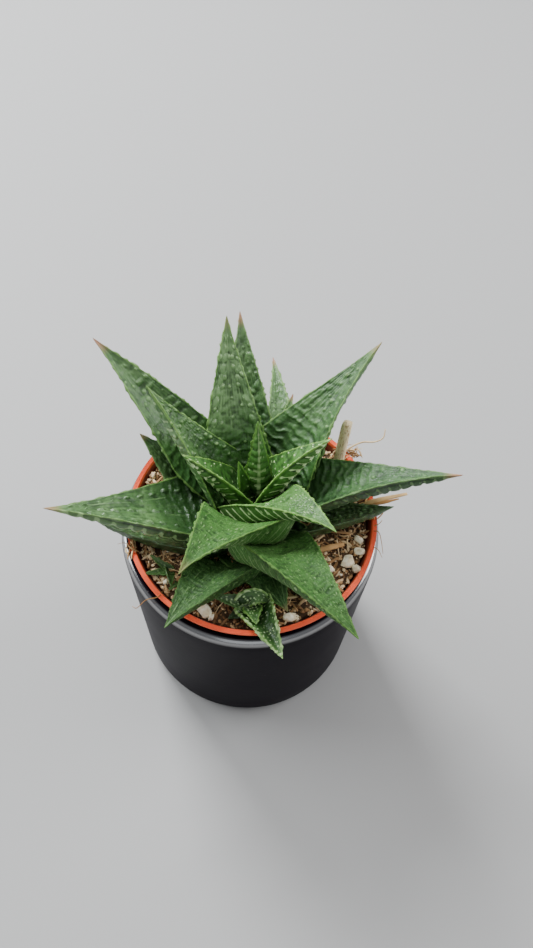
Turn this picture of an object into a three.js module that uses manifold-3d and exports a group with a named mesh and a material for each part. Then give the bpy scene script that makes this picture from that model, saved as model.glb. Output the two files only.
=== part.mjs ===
// A haworthia in a terracotta-coloured nursery pot, which stands in a black glazed
// ceramic pot. Millimetres, +Z up. The origin is the centre of the pot's flat base.

import * as THREE from 'three';
import { mergeVertices } from 'three/addons/utils/BufferGeometryUtils.js';
import Module from 'manifold-3d';

const wasm = await Module();
wasm.setup();

// Clearance between pieces that touch on the real plant, and the size of the slivers
// that are dropped from a piece that was cut clear of another
const gap = 0.35;
const trimTolerance = 0.08;

// Ceramic outer pot; its wall ends in a tall oval lip
const potHeight = 86;
const potLipRise = 4;
const potRimRadius = 44.5;
const potFootRadius = 43.4;
const potFootRound = 5;
const potWall = 2.9;
const potFloor = 6;
const potSides = 48;

// Nursery pot inside it, a little off centre
const linerShift = 0.45;
const linerTop = 90.2;
const linerLipOuter = 42.4;
const linerLipInner = 40.6;
const linerLipHeight = 1.4;
const linerNeckRadius = 40.9;
const linerFootRadius = 32;
const linerWall = 0.9;
const linerHoles = 5;
const linerHoleRadius = 3;
const linerHoleCircle = 20;

// Potting soil, with a shallow dish under the rosette
const soilTop = 86.6;
const soilRelief = 0.7;
const soilDishRadius = 17;
const soilDishDepth = 3.2;

// Rosette: its axis, and the short stem in its hole in the soil
const crownX = 1;
const crownY = 2.5;
const stemTop = 92;
const stemFoot = 62;
const stemRadius = 4.2;

// A leaf's margin is this thick, and its tip this wide
const marginEdge = 0.7;
const tipHalf = 0.35;

const glaze = new THREE.MeshStandardMaterial({ color: 0x17161b, roughness: 0.22, metalness: 0 });
const plastic = new THREE.MeshStandardMaterial({ color: 0xd9603f, roughness: 0.55, metalness: 0 });
const peat = new THREE.MeshStandardMaterial({ color: 0x5a4230, roughness: 0.95, metalness: 0 });
const youngLeaf = new THREE.MeshStandardMaterial({ color: 0x3f7a2c, roughness: 0.45, metalness: 0 });
const oldLeaf = new THREE.MeshStandardMaterial({ color: 0x2f5a38, roughness: 0.5, metalness: 0 });
const dryStalk = new THREE.MeshStandardMaterial({ color: 0xb09468, roughness: 0.9, metalness: 0 });
const perlite = new THREE.MeshStandardMaterial({ color: 0xe6e0cc, roughness: 0.9, metalness: 0 });

const radians = THREE.MathUtils.degToRad;
const part = new THREE.Group();

// Closed triangles only: corners joined, and slivers at a lathe's poles dropped
function closedGeometry(geometry) {
  geometry.deleteAttribute('normal');
  geometry.deleteAttribute('uv');
  const merged = mergeVertices(geometry, 1e-4);
  const corners = merged.index.array;
  const kept = [];
  for (let i = 0; i < corners.length; i += 3) {
    const [a, b, c] = [corners[i], corners[i + 1], corners[i + 2]];
    if (a !== b && b !== c && c !== a) kept.push(a, b, c);
  }
  merged.setIndex(kept);
  return merged;
}

function solidOf(geometry) {
  const closed = closedGeometry(geometry);
  const vertProperties = new Float32Array(closed.attributes.position.array);
  const triVerts = new Uint32Array(closed.index.array);
  const solid = new wasm.Manifold(new wasm.Mesh({ numProp: 3, vertProperties, triVerts }));
  if (solid.volume() > 0) return solid;
  for (let i = 0; i < triVerts.length; i += 3) {
    [triVerts[i + 1], triVerts[i + 2]] = [triVerts[i + 2], triVerts[i + 1]];
  }
  return new wasm.Manifold(new wasm.Mesh({ numProp: 3, vertProperties, triVerts }));
}

// The largest body of a cut solid, without its loose scraps
function mainBody(solid) {
  const bodies = solid.decompose();
  return bodies.reduce((best, body) => (body.volume() > best.volume() ? body : best));
}

function addPiece(name, solid, material) {
  const mesh = solid.getMesh();
  const geometry = new THREE.BufferGeometry();
  geometry.setAttribute('position', new THREE.BufferAttribute(mesh.vertProperties, 3));
  geometry.setIndex(new THREE.BufferAttribute(mesh.triVerts, 1));
  geometry.computeVertexNormals();
  const piece = new THREE.Mesh(geometry, material);
  piece.name = name;
  part.add(piece);
}

// A profile of [radius, height] points turned about the Z axis
function turned(profile, sides, x = 0, y = 0) {
  const points = profile.map(([radius, height]) => new THREE.Vector2(radius, height));
  const geometry = new THREE.LatheGeometry(points, sides);
  geometry.rotateX(Math.PI / 2);
  geometry.translate(x, y, 0);
  return solidOf(geometry);
}

// Points of a round or oval corner in a profile, from one angle to another
function corner(radius, height, wide, high, from, to, steps) {
  return Array.from({ length: steps + 1 }, (_, i) => {
    const angle = radians(from + ((to - from) * i) / steps);
    return [radius + wide * Math.cos(angle), height + high * Math.sin(angle)];
  });
}

function ceramicPot() {
  const lip = potWall / 2;
  return turned([
    [0, 0],
    ...corner(potFootRadius - potFootRound, potFootRound, potFootRound, potFootRound, -90, 0, 3),
    ...corner(potRimRadius - lip, potHeight - potLipRise, lip, potLipRise, 0, 180, 6),
    [potFootRadius - potWall, potFloor + 2],
    [potFootRadius - potWall - 2, potFloor],
    [0, potFloor],
  ], potSides);
}

function nurseryPot() {
  const foot = potFloor + gap;
  const lipFoot = linerTop - linerLipHeight;
  let pot = turned([
    [0, foot],
    [linerFootRadius, foot],
    [linerNeckRadius, lipFoot],
    [linerLipOuter, lipFoot + 0.3],
    [linerLipOuter, linerTop - 0.3],
    [linerLipOuter - 0.3, linerTop],
    [linerLipInner, linerTop],
    [linerNeckRadius - linerWall, lipFoot],
    [linerFootRadius - linerWall, foot + linerWall],
    [0, foot + linerWall],
  ], potSides, linerShift);
  for (let i = 0; i < linerHoles; i += 1) {
    const angle = (2 * Math.PI * i) / linerHoles;
    const drill = new THREE.CylinderGeometry(linerHoleRadius, linerHoleRadius, 8, 10);
    drill.rotateX(Math.PI / 2);
    drill.translate(linerShift + linerHoleCircle * Math.cos(angle), linerHoleCircle * Math.sin(angle), foot);
    pot = pot.subtract(solidOf(drill));
  }
  return pot;
}

// Height of the soil: level near the wall, dished in the middle, with gentle lumps
function soilLevel(x, y) {
  const reach = Math.hypot(x - crownX, y - crownY) / soilDishRadius;
  const dish = soilDishDepth * (1 - THREE.MathUtils.smoothstep(reach, 0.55, 1.15));
  const lumps = Math.sin(0.61 * x + 0.4) * Math.cos(0.53 * y - 0.7) + 0.6 * Math.sin(1.3 * x - 0.9 * y);
  return soilTop - dish + (soilRelief * lumps) / 1.6;
}

function pottingSoil() {
  const foot = potFloor + 2 * gap + linerWall;
  const slope = (linerNeckRadius - linerFootRadius) / (linerTop - linerLipHeight - potFloor);
  const wallInside = (height) => linerFootRadius + slope * (height - potFloor) - linerWall - gap - 0.15;
  const rings = 8;
  const profile = [[0, foot], [wallInside(foot), foot]];
  for (let i = 0; i <= rings; i += 1) profile.push([wallInside(soilTop) * (1 - i / rings), soilTop]);
  const points = profile.map(([radius, height]) => new THREE.Vector2(radius, height));
  const geometry = new THREE.LatheGeometry(points, 40);
  geometry.rotateX(Math.PI / 2);
  geometry.translate(linerShift, 0, 0);
  const place = geometry.attributes.position;
  for (let i = 0; i < place.count; i += 1) {
    if (place.getZ(i) > soilTop - 1) place.setZ(i, soilLevel(place.getX(i), place.getY(i)));
  }
  return solidOf(geometry);
}

// What the leaves keep clear of: the dished soil and the nursery pot's lip
function groundClear() {
  const level = soilTop + soilRelief + gap;
  const low = stemFoot - 5;
  const soil = turned([
    [0, low],
    [linerNeckRadius, low],
    [linerNeckRadius, level],
    [soilDishRadius * 1.15, level],
    [soilDishRadius * 0.85, level - soilDishDepth * 0.5],
    [soilDishRadius * 0.55, level - soilDishDepth],
    [0, level - soilDishDepth],
  ], 32, crownX, crownY);
  const rim = turned([
    [linerLipInner - 2 * linerWall, low],
    [potRimRadius + gap, low],
    [potRimRadius + gap, potHeight - potLipRise],
    [potRimRadius - potWall / 3, potHeight + gap],
    [linerLipOuter + gap, linerTop - linerLipHeight - gap],
    [linerLipOuter + gap, linerTop + gap],
    [linerLipInner - gap, linerTop + gap],
    [linerLipInner - 2 * linerWall, linerTop - linerLipHeight],
    [linerLipInner - 2 * linerWall, low],
  ], 48, linerShift);
  return soil.add(rim);
}

// The leaf's middle line: it leaves the crown at rise[0], bends to rise[1] and turns
// sideways on the way. Its cross-section rolls from roll[0] to roll[1].
function leafFrames(leaf, count, grow) {
  const frames = [];
  const azimuth = radians(leaf.azimuth);
  const place = new THREE.Vector3(
    leaf.crown[0] + leaf.foot[0] * Math.cos(azimuth) - leaf.foot[1] * Math.sin(azimuth),
    leaf.crown[1] + leaf.foot[0] * Math.sin(azimuth) + leaf.foot[1] * Math.cos(azimuth),
    leaf.foot[2],
  );
  const heading = (t) => {
    const rise = radians(leaf.rise[0] + (leaf.rise[1] - leaf.rise[0]) * t ** leaf.bend);
    const turn = radians(leaf.azimuth + leaf.turn * t);
    return new THREE.Vector3(Math.cos(rise) * Math.cos(turn), Math.cos(rise) * Math.sin(turn), Math.sin(rise));
  };
  const fine = 8;
  for (let i = 0; i < count; i += 1) {
    const t = i / (count - 1);
    const along = heading(t);
    const turn = radians(leaf.azimuth + leaf.turn * t);
    const level = new THREE.Vector3(-Math.sin(turn), Math.cos(turn), 0);
    const upright = new THREE.Vector3().crossVectors(along, level);
    const roll = radians(leaf.roll[0] + (leaf.roll[1] - leaf.roll[0]) * t);
    const side = level.clone().multiplyScalar(Math.cos(roll)).addScaledVector(upright, Math.sin(roll));
    const up = upright.clone().multiplyScalar(Math.cos(roll)).addScaledVector(level, -Math.sin(roll));
    const end = i === 0 ? -grow : i === count - 1 ? grow : 0;
    frames.push({ t, side, up, place: place.clone().addScaledVector(along, end) });
    for (let k = 0; k < fine; k += 1) {
      const middle = (i + (k + 0.5) / fine) / (count - 1);
      place.addScaledVector(heading(middle), leaf.length / (count - 1) / fine);
    }
  }
  return frames;
}

function leafHalfWidth(leaf, t) {
  if (t < leaf.widest) {
    return leaf.half * (leaf.clasp + (1 - leaf.clasp) * Math.sin((Math.PI / 2) * (t / leaf.widest)));
  }
  return tipHalf + (leaf.half - tipHalf) * ((1 - t) / (1 - leaf.widest)) ** leaf.taper;
}

// One cross-section: the channelled upper face with its tubercles, the two thick
// margins, and the two lower faces that meet at the keel, with their cross bars
function leafSection(leaf, frame, station, grow) {
  const { t, side, up, place } = frame;
  const half = leafHalfWidth(leaf, t);
  const channel = leaf.channel * half;
  const keel = Math.min(leaf.keel * Math.sqrt(Math.max(1 - t, 0)) * (0.55 + 0.45 * Math.min(1, t / 0.12)), 0.9 * half + 0.3);
  const depth = Math.max(channel + keel, marginEdge);
  const fade = Math.min(1, 4 * (1 - t)) * leaf.relief;
  const odd = station % 2;
  const bar = fade * odd;
  const wide = half + 0.3 * bar + grow;
  const spread = (share) => share * wide;
  const upper = (share) => -channel * (1 - Math.abs(share) ** 1.6) + grow;
  const edge = Math.min(marginEdge, depth * 0.8);
  const points = [
    [spread(1), grow * 0.6],
    [spread(0.5), upper(0.5) + 0.8 * fade * (1 - odd)],
    [0, upper(0) + 0.8 * bar],
    [spread(-0.5), upper(-0.5) + 0.8 * fade * (1 - odd)],
    [spread(-1), grow * 0.6],
    [spread(-1), -edge - grow],
    [spread((leaf.keelAt - 1) / 2), -0.58 * depth - bar - edge * 0.4 - grow * 1.2],
    [spread(leaf.keelAt), -depth - 0.7 * bar - grow * 1.3],
    [spread((leaf.keelAt + 1) / 2), -0.58 * depth - bar - edge * 0.4 - grow * 1.2],
    [spread(1), -edge - grow],
  ];
  return points.map(([s, n]) => place.clone().addScaledVector(side, s).addScaledVector(up, n));
}

// The closed skin of a leaf: a grid of cross-sections with a fan at each end
function leafSolid(leaf, grow = 0) {
  const count = Math.round(leaf.length / leaf.pitch) + 1;
  const rings = leafFrames(leaf, count, grow).map((frame, i) => leafSection(leaf, frame, i, grow));
  const around = rings[0].length;
  const keelPoint = 7;
  const positions = rings.flat().flatMap((point) => point.toArray());
  const index = [];
  for (let i = 0; i < count - 1; i += 1) {
    for (let j = 0; j < around; j += 1) {
      const a = i * around + j;
      const b = i * around + ((j + 1) % around);
      index.push(a, b, b + around, a, b + around, a + around);
    }
  }
  for (let j = 1; j < around - 1; j += 1) {
    const b = (keelPoint + j) % around;
    const c = (keelPoint + j + 1) % around;
    index.push(keelPoint, c, b);
    const last = (count - 1) * around;
    index.push(last + keelPoint, last + b, last + c);
  }
  const geometry = new THREE.BufferGeometry();
  geometry.setAttribute('position', new THREE.Float32BufferAttribute(positions, 3));
  geometry.setIndex(index);
  return solidOf(geometry);
}

// Shared proportions of the rosette's leaves. foot is the distance out from the
// crown's axis, the shift to the leaf's left, and the height.
const plainLeaf = {
  crown: [crownX, crownY],
  widest: 0.2,
  clasp: 0.72,
  taper: 0.95,
  bend: 1,
  channel: 0.35,
  keel: 5,
  keelAt: 0,
  relief: 0.5,
  pitch: 3.5,
};

// The rosette from its heart outwards; the first ones are the young leaves. Angles in degrees: azimuth 0 is +X and 90 is +Y.
const rosette = [
  { name: 'leaf_heart_small', azimuth: 137, turn: -4, length: 20, rise: [72, 70], half: 3.6, roll: [10, 5], foot: [1, 1, 93], keel: 3, relief: 0.25, pitch: 2 },
  { name: 'leaf_heart', azimuth: 95, turn: 6, length: 31, rise: [71, 71], half: 5.4, roll: [0, 0], foot: [3, -1, 94], keel: 3.5, relief: 0.3, pitch: 2.4 },
  { name: 'leaf_inner_left', azimuth: 184, turn: 3, length: 35, rise: [62, 35], half: 10.5, roll: [28, 28], foot: [0, -3, 93.4], keelAt: 0.15, relief: 0.35, pitch: 2.4 },
  { name: 'leaf_inner_right', azimuth: 12, turn: -5, length: 39, rise: [69, 32], half: 10.5, roll: [-20, -39], foot: [-0.5, 4.5, 93.8], keelAt: -0.15, relief: 0.35, pitch: 2.4 },
  { name: 'leaf_front_right_upper', azimuth: -42, turn: -2, length: 54, rise: [82, -1], half: 13, roll: [-36, 11], foot: [-0.5, -1.5, 90.2], keel: 6, keelAt: -0.65, channel: 0.25, widest: 0.2, clasp: 0.6, taper: 1.05, bend: 1.2, pitch: 3 },
  { name: 'leaf_back_left_upper', azimuth: 154, turn: 1, length: 54, rise: [50, 45], half: 13, roll: [7, 41], foot: [3, -0.5, 91.2], keelAt: 0.2, pitch: 3 },
  { name: 'leaf_front_left_upper', azimuth: -123, turn: 6, length: 63, rise: [78, -7], half: 15, roll: [47, -19], foot: [2.5, 4.5, 88.8], keel: 6, keelAt: 0.6, channel: 0.3, widest: 0.34, clasp: 0.53, taper: 1.05, bend: 1.3 },
  { name: 'leaf_back', azimuth: 105, turn: -7, length: 61, rise: [49, 39], half: 12, roll: [-4, 10], foot: [5.5, 3.5, 90] },
  { name: 'leaf_front_right', azimuth: -62, turn: 12, length: 70, rise: [76, -18], half: 13.7, roll: [-28, -12], foot: [7.7, -3.7, 86.9], keel: 6, keelAt: -0.6, channel: 0.3, widest: 0.28, clasp: 0.52, taper: 0.9 },
  { name: 'leaf_back_right', azimuth: 48, turn: -9, length: 66, rise: [50.5, 31], half: 14.7, roll: [5, -40], foot: [5.5, 3.7, 89.8] },
  { name: 'leaf_back_left', azimuth: 145, turn: 4, length: 74, rise: [45, 26.5], half: 13, roll: [1, -2], foot: [6.5, 1, 89] },
  { name: 'leaf_right', azimuth: -2, turn: -6, length: 66.5, rise: [41, 14], half: 15, roll: [-10, -42], foot: [4.7, 5, 90.8], keelAt: -0.2 },
  { name: 'leaf_left', azimuth: 204, turn: -6, length: 66, rise: [28.5, 22], half: 16, roll: [11, 23], foot: [5, -3.3, 90], keelAt: 0.4 },
  { name: 'leaf_back_lower', azimuth: 99, turn: 1, length: 63, rise: [42, 27.5], half: 10.6, roll: [0, 0], foot: [7, 0.3, 88] },
  { name: 'leaf_front_left_lower', azimuth: -122, turn: 3, length: 46.5, rise: [34, -5], half: 15, roll: [26, 20], foot: [8.5, 3.3, 86], keelAt: 0.5 },
  { name: 'leaf_front_lower', azimuth: -73, turn: 16, length: 33, rise: [24, -7], half: 12.7, roll: [0, 20], foot: [7.3, -3, 86.8] },
  { name: 'leaf_right_lower', azimuth: -3, turn: 11, length: 41, rise: [20, 10], half: 12, roll: [-31, -28], foot: [7, -1, 86.8] },
  { name: 'leaf_left_lower', azimuth: 197, turn: -20, length: 46.5, rise: [13, 11], half: 13.6, roll: [30, 21], foot: [9, 3.3, 86], keelAt: 0.25 },
  { name: 'leaf_back_left_lower', azimuth: 160, turn: -11, length: 41, rise: [36.5, 25], half: 11.7, roll: [-4, -3], foot: [8.6, 2.5, 87] },
  { name: 'leaf_back_right_lower', azimuth: 86, turn: 17, length: 53, rise: [28, 1.5], half: 7, roll: [-5, -8], foot: [8.4, -6, 87] },
  { name: 'leaf_front_right_lower', azimuth: -56, turn: 0, length: 31, rise: [16, -8], half: 12, roll: [0, 0], foot: [8, 0, 87.4] },
  { name: 'leaf_right_back_lower', azimuth: 53, turn: 0, length: 45, rise: [36, 24], half: 10.5, roll: [0, 0], foot: [8, 0, 87] },
  { name: 'leaf_back_small', azimuth: 75, turn: 0, length: 36, rise: [34, 23], half: 5, roll: [0, 0], foot: [9, 0, 87] },
];

const youngCount = 9;

// The inner leaves keep their whole form; each outer one is cut clear of what is inside it
function addRosette() {
  let inner = turned(stemProfile(gap), 12, crownX, crownY);
  const ground = groundClear();
  rosette.forEach((values, index) => {
    const leaf = { ...plainLeaf, ...values };
    const trimmed = mainBody(leafSolid(leaf).subtract(ground).subtract(inner)).simplify(trimTolerance);
    addPiece(leaf.name, trimmed, index < youngCount ? youngLeaf : oldLeaf);
    inner = inner.add(leafSolid(leaf, gap + 0.1));
  });
  return inner;
}

const stemProfile = (grow) => [
  [0, stemFoot - grow],
  [stemRadius + grow, stemFoot - grow],
  [stemRadius + grow, stemTop - 8],
  [stemRadius * 0.6 + grow, stemTop + grow],
  [0, stemTop + grow],
];

// A stalk, straw or root: a tapering tube through a list of points, flattened by a share
function strand(points, radius, sides, flat = 1) {
  const path = new THREE.CatmullRomCurve3(points.map((point) => new THREE.Vector3(...point)));
  const steps = points.length * 2;
  const frames = path.computeFrenetFrames(steps, false);
  const positions = [];
  for (let i = 0; i <= steps; i += 1) {
    const centre = path.getPointAt(i / steps);
    const level = new THREE.Vector3().crossVectors(frames.tangents[i], new THREE.Vector3(0.1, 0.1, 1)).normalize();
    const upright = new THREE.Vector3().crossVectors(level, frames.tangents[i]);
    const size = radius * (1 - 0.3 * (i / steps) ** 4);
    for (let k = 0; k < sides; k += 1) {
      const angle = (2 * Math.PI * (k + 0.5)) / sides;
      const point = centre.clone().addScaledVector(level, size * Math.cos(angle));
      positions.push(...point.addScaledVector(upright, size * flat * Math.sin(angle)).toArray());
    }
  }
  const index = [];
  for (let i = 0; i < steps; i += 1) {
    for (let k = 0; k < sides; k += 1) {
      const a = i * sides + k;
      const b = i * sides + ((k + 1) % sides);
      index.push(a, b, b + sides, a, b + sides, a + sides);
    }
  }
  for (let k = 1; k < sides - 1; k += 1) {
    index.push(0, k + 1, k);
    index.push(steps * sides, steps * sides + k, steps * sides + k + 1);
  }
  const geometry = new THREE.BufferGeometry();
  geometry.setAttribute('position', new THREE.Float32BufferAttribute(positions, 3));
  geometry.setIndex(index);
  return solidOf(geometry);
}

// A lump of perlite: a rough ball squeezed to three sizes, turned and half sunk
function lump({ place, size, turn, tilt }, grow = 0) {
  const geometry = new THREE.IcosahedronGeometry(1, 1);
  const points = geometry.attributes.position;
  for (let i = 0; i < points.count; i += 1) {
    const [x, y, z] = [points.getX(i), points.getY(i), points.getZ(i)];
    const rough = 1 + 0.1 * Math.sin(5 * x + 3 * place[0]) * Math.cos(4 * y + place[1]);
    points.setXYZ(i, x * rough * (size[0] / 2 + grow), y * rough * (size[1] / 2 + grow), z * rough * (size[2] / 2 + grow));
  }
  geometry.rotateY(radians(tilt));
  geometry.rotateZ(radians(turn));
  geometry.translate(place[0], place[1], soilLevel(place[0], place[1]) + size[2] * 0.3);
  return solidOf(geometry);
}

const lumps = [
  { name: 'perlite_right_large', place: [33.1, -13.8], size: [4.6, 3.8, 3], turn: 20, tilt: 0 },
  { name: 'perlite_right_back', place: [37.2, -5.2], size: [2.6, 3, 2.2], turn: 0, tilt: 0 },
  { name: 'perlite_right_middle', place: [37.3, -9.9], size: [2.6, 2.8, 2.4], turn: 60, tilt: 0 },
  { name: 'perlite_front_shell', place: [16, -33.6], size: [5.6, 3, 1.8], turn: 15, tilt: 12 },
  { name: 'perlite_front_chip', place: [-12.8, -34.4], size: [5.2, 5, 2], turn: 40, tilt: -30 },
];

// An offset of the plant at the front: a deep pointed leaf over the pots' lips, one that
// hoods its heart, a low one to the left and a short inner one. A leaf of a fused offset
// starts at the offset's own crown.
const frontOffset = [
  { azimuth: -59, turn: -3, length: 26.5, rise: [34, 8], half: 5.6, roll: [2, 14], foot: [-1, 0, 89.4], channel: 0.5, keel: 1.3, widest: 0.1, clasp: 0.9, taper: 0.9 },
  { azimuth: 8, turn: -20, length: 12, rise: [68, -30], half: 2.8, roll: [0, -20], foot: [-3.6, 0.2, 88.6], channel: 0.3, keel: 1, taper: 0.6 },
  { azimuth: 172, turn: 6, length: 17, rise: [20, 6], half: 3.4, roll: [10, 0], foot: [-2, 0.5, 88.2], keel: 1.6 },
  { azimuth: -62, turn: 0, length: 9, rise: [62, 40], half: 2.2, roll: [-40, -40], foot: [0, 0.5, 88.4], keel: 1.2 },
];
const offsetHeart = 2.8;
const leftOffset = [
  { azimuth: -165, turn: 10, length: 9, rise: [35, 15], half: 2.4, roll: [10, 0], foot: [0, 0, 86.8], keel: 1.4 },
  { azimuth: -80, turn: -10, length: 8, rise: [40, 20], half: 2.2, roll: [0, 0], foot: [0, 0, 86.8], keel: 1.4 },
  { azimuth: 10, turn: 10, length: 8, rise: [40, 20], half: 2.2, roll: [0, 0], foot: [0, 0, 86.8], keel: 1.4 },
  { azimuth: 100, turn: 0, length: 7, rise: [50, 35], half: 2, roll: [0, 0], foot: [0, 0, 86.8], keel: 1.2 },
];

// The leaves of an offset, fused around its short heart
function offsetSolid(leaves, crown, clear) {
  const shared = { ...plainLeaf, crown, relief: 0.15, pitch: 2.8 };
  const heart = turned([[0, 84], [2, 84], [offsetHeart, 87.5], [2, 89.4], [0, 89.6]], 8, ...crown);
  const fused = leaves.reduce((all, leaf) => all.add(leafSolid({ ...shared, ...leaf })), heart);
  return mainBody(fused.subtract(clear)).simplify(trimTolerance);
}

const stalkPath = [[28, 18.5, 80], [28.6, 20.4, 90], [29.4, 23.6, 100], [30.2, 27, 110]];
const stalkRadius = 1.9;
const strawPath = [[35.2, 6.6, 88.9], [39.5, 7.1, 90.9], [43.5, 7.9, 92.2], [53, 10.6, 93.6]];

addPiece('ceramic_pot', ceramicPot(), glaze);
addPiece('nursery_pot', nurseryPot(), plastic);
addPiece('stem', turned(stemProfile(0), 12, crownX, crownY), dryStalk);
const plant = addRosette().add(groundClear());
addPiece('offset_front', offsetSolid(frontOffset, [2.6, -31.6], plant), oldLeaf);
addPiece('offset_left', offsetSolid(leftOffset, [-25.2, -20.5], plant), oldLeaf);
addPiece('flower_stalk', strand(stalkPath, stalkRadius, 8), dryStalk);
addPiece('straw', strand(strawPath, 0.85, 6, 0.45), dryStalk);
const holes = [turned(stemProfile(gap), 12, crownX, crownY), strand(stalkPath, stalkRadius + gap, 8)];
holes.push(turned([[0, stemFoot], [stemRadius + gap, stemFoot], [stemRadius + gap, 100], [0, 100]], 12, crownX, crownY));
holes.push(...lumps.map((values) => lump(values, gap)));
addPiece('soil', holes.reduce((soil, hole) => soil.subtract(hole), pottingSoil()), peat);
for (const values of lumps) addPiece(values.name, lump(values), perlite);

export default part;
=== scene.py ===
# Looks for the potted haworthia: finer leaves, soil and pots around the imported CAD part.
# Lengths are millimetres and angles degrees; the shaders, the floor and the lamps use metres.
import math
from types import SimpleNamespace

import bpy
import numpy as np
from mathutils import Matrix


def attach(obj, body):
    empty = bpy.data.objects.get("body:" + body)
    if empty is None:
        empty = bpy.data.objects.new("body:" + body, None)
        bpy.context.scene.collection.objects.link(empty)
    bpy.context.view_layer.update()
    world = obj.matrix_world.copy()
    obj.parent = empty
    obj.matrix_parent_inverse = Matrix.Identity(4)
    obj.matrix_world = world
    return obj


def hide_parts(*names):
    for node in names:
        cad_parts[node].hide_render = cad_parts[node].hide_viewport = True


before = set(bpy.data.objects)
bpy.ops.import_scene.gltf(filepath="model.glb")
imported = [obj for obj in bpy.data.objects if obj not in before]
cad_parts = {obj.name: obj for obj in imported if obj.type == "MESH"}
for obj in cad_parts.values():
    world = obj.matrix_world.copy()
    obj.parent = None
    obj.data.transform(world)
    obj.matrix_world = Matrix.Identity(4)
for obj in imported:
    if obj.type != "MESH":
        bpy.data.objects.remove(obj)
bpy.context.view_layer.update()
scene = bpy.context.scene
millimetre = 0.001
fullTurn = 2 * math.pi

# The camera's place over the front of the pot, its tilt down from level, its roll and its lens
view = dict(place=(4.18, -119.1, 311.8), tilt=58.57, roll=4.11, lens=28.1, sensor=36, nearest=10)


# The pose of something at a place, from its three axes
def poseOf(across, above, behind, place):
    return Matrix([[across[i], above[i], behind[i], place[i]] for i in range(3)] + [[0, 0, 0, 1]])


# Points the camera ahead, down by its tilt, and turns its right and up about that by its roll
def placeCamera():
    tilt, roll = math.radians(view["tilt"]), math.radians(view["roll"])
    right = np.array([1.0, 0.0, 0.0])
    ahead = np.array([0.0, math.cos(tilt), -math.sin(tilt)])
    upward = np.array([0.0, math.sin(tilt), math.cos(tilt)])
    across = math.cos(roll) * right + math.sin(roll) * upward
    above = math.cos(roll) * upward - math.sin(roll) * right
    camera = bpy.data.objects.new("camera", bpy.data.cameras.new("camera"))
    camera.data.sensor_width = view["sensor"]
    camera.data.lens = view["lens"]
    camera.data.clip_start = view["nearest"] * millimetre
    camera.matrix_world = poseOf(across, above, -ahead, np.array(view["place"]) * millimetre)
    scene.collection.objects.link(camera)
    scene.camera = camera


placeCamera()
print("camera placed")


# A shader socket that does sums: a + b, a * 2, 1 - a and so on make Math nodes
class Wire:
    def __init__(self, shader, socket):
        self.shader = shader
        self.socket = socket

    def sums(self, operation, *others):
        values = dict(enumerate((self,) + others))
        return self.shader.add("ShaderNodeMath", {"operation": operation}, values)

    def __add__(self, other):
        return self.sums("ADD", other)

    def __sub__(self, other):
        return self.sums("SUBTRACT", other)

    def __mul__(self, other):
        return self.sums("MULTIPLY", other)

    def __rsub__(self, other):
        return self.shader.add("ShaderNodeMath", {"operation": "SUBTRACT"}, {0: other, 1: self})

    __radd__ = __add__
    __rmul__ = __mul__

    # 0 below low, 1 above high, smooth in between; low may be the larger
    def step(self, low, high):
        values = {"Value": self, "From Min": low, "From Max": high}
        return self.shader.add("ShaderNodeMapRange", {"interpolation_type": "SMOOTHSTEP"}, values)

    def largest(self, other):
        return self.sums("MAXIMUM", other)


# One material and its node tree
class Shader:
    def __init__(self, name):
        self.material = bpy.data.materials.new(name)
        self.material.use_nodes = True
        self.tree = self.material.node_tree
        self.tree.nodes.clear()

    def add(self, kind, settings, values, output=0):
        node = self.tree.nodes.new(kind)
        for key, value in settings.items():
            setattr(node, key, value)
        for key, value in values.items():
            if isinstance(value, Wire):
                self.tree.links.new(value.socket, node.inputs[key])
            else:
                node.inputs[key].default_value = value
        return Wire(self, node.outputs[output]) if len(node.outputs) else None

    # The three numbers of a vector attribute
    def parts(self, name):
        vector = self.add("ShaderNodeAttribute", {"attribute_name": name}, {}, "Vector")
        node = self.add("ShaderNodeSeparateXYZ", {}, {0: vector}).socket.node
        return [Wire(self, socket) for socket in node.outputs]

    def place(self):
        return self.add("ShaderNodeTexCoord", {}, {}, "Object")

    def attribute(self, name):
        return self.add("ShaderNodeAttribute", {"attribute_name": name}, {}, "Fac")

    def surface(self):
        return self.add("ShaderNodeAttribute", {"attribute_name": "surface"}, {}, "Vector")

    def stretch(self, vector, scale):
        return self.add("ShaderNodeVectorMath", {"operation": "MULTIPLY"}, {0: vector, 1: scale})

    def noise(self, vector, scale, detail=3.0, rough=0.5):
        values = {"Vector": vector, "Scale": scale, "Detail": detail, "Roughness": rough}
        return self.add("ShaderNodeTexNoise", {}, values)

    def cells(self, vector, scale):
        return self.add("ShaderNodeTexVoronoi", {}, {"Vector": vector, "Scale": scale}, "Distance")

    def mix(self, share, first, second):
        values = {0: share, 6: first, 7: second}
        return self.add("ShaderNodeMix", {"data_type": "RGBA"}, values, 2)

    def bump(self, height, strength, distance):
        values = {"Height": height, "Strength": strength, "Distance": distance * millimetre}
        return self.add("ShaderNodeBump", {}, values)

    def finish(self, values):
        shading = self.add("ShaderNodeBsdfPrincipled", {}, values)
        self.add("ShaderNodeOutputMaterial", {}, {"Surface": shading})
        return self.material


# Repeatable random number from 0 to 1 for each pair of cell numbers
def scatter(first, second, seed):
    value = np.sin(first * 127.1 + second * 311.7 + seed * 74.7) * 43758.5453
    return value - np.floor(value)


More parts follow.
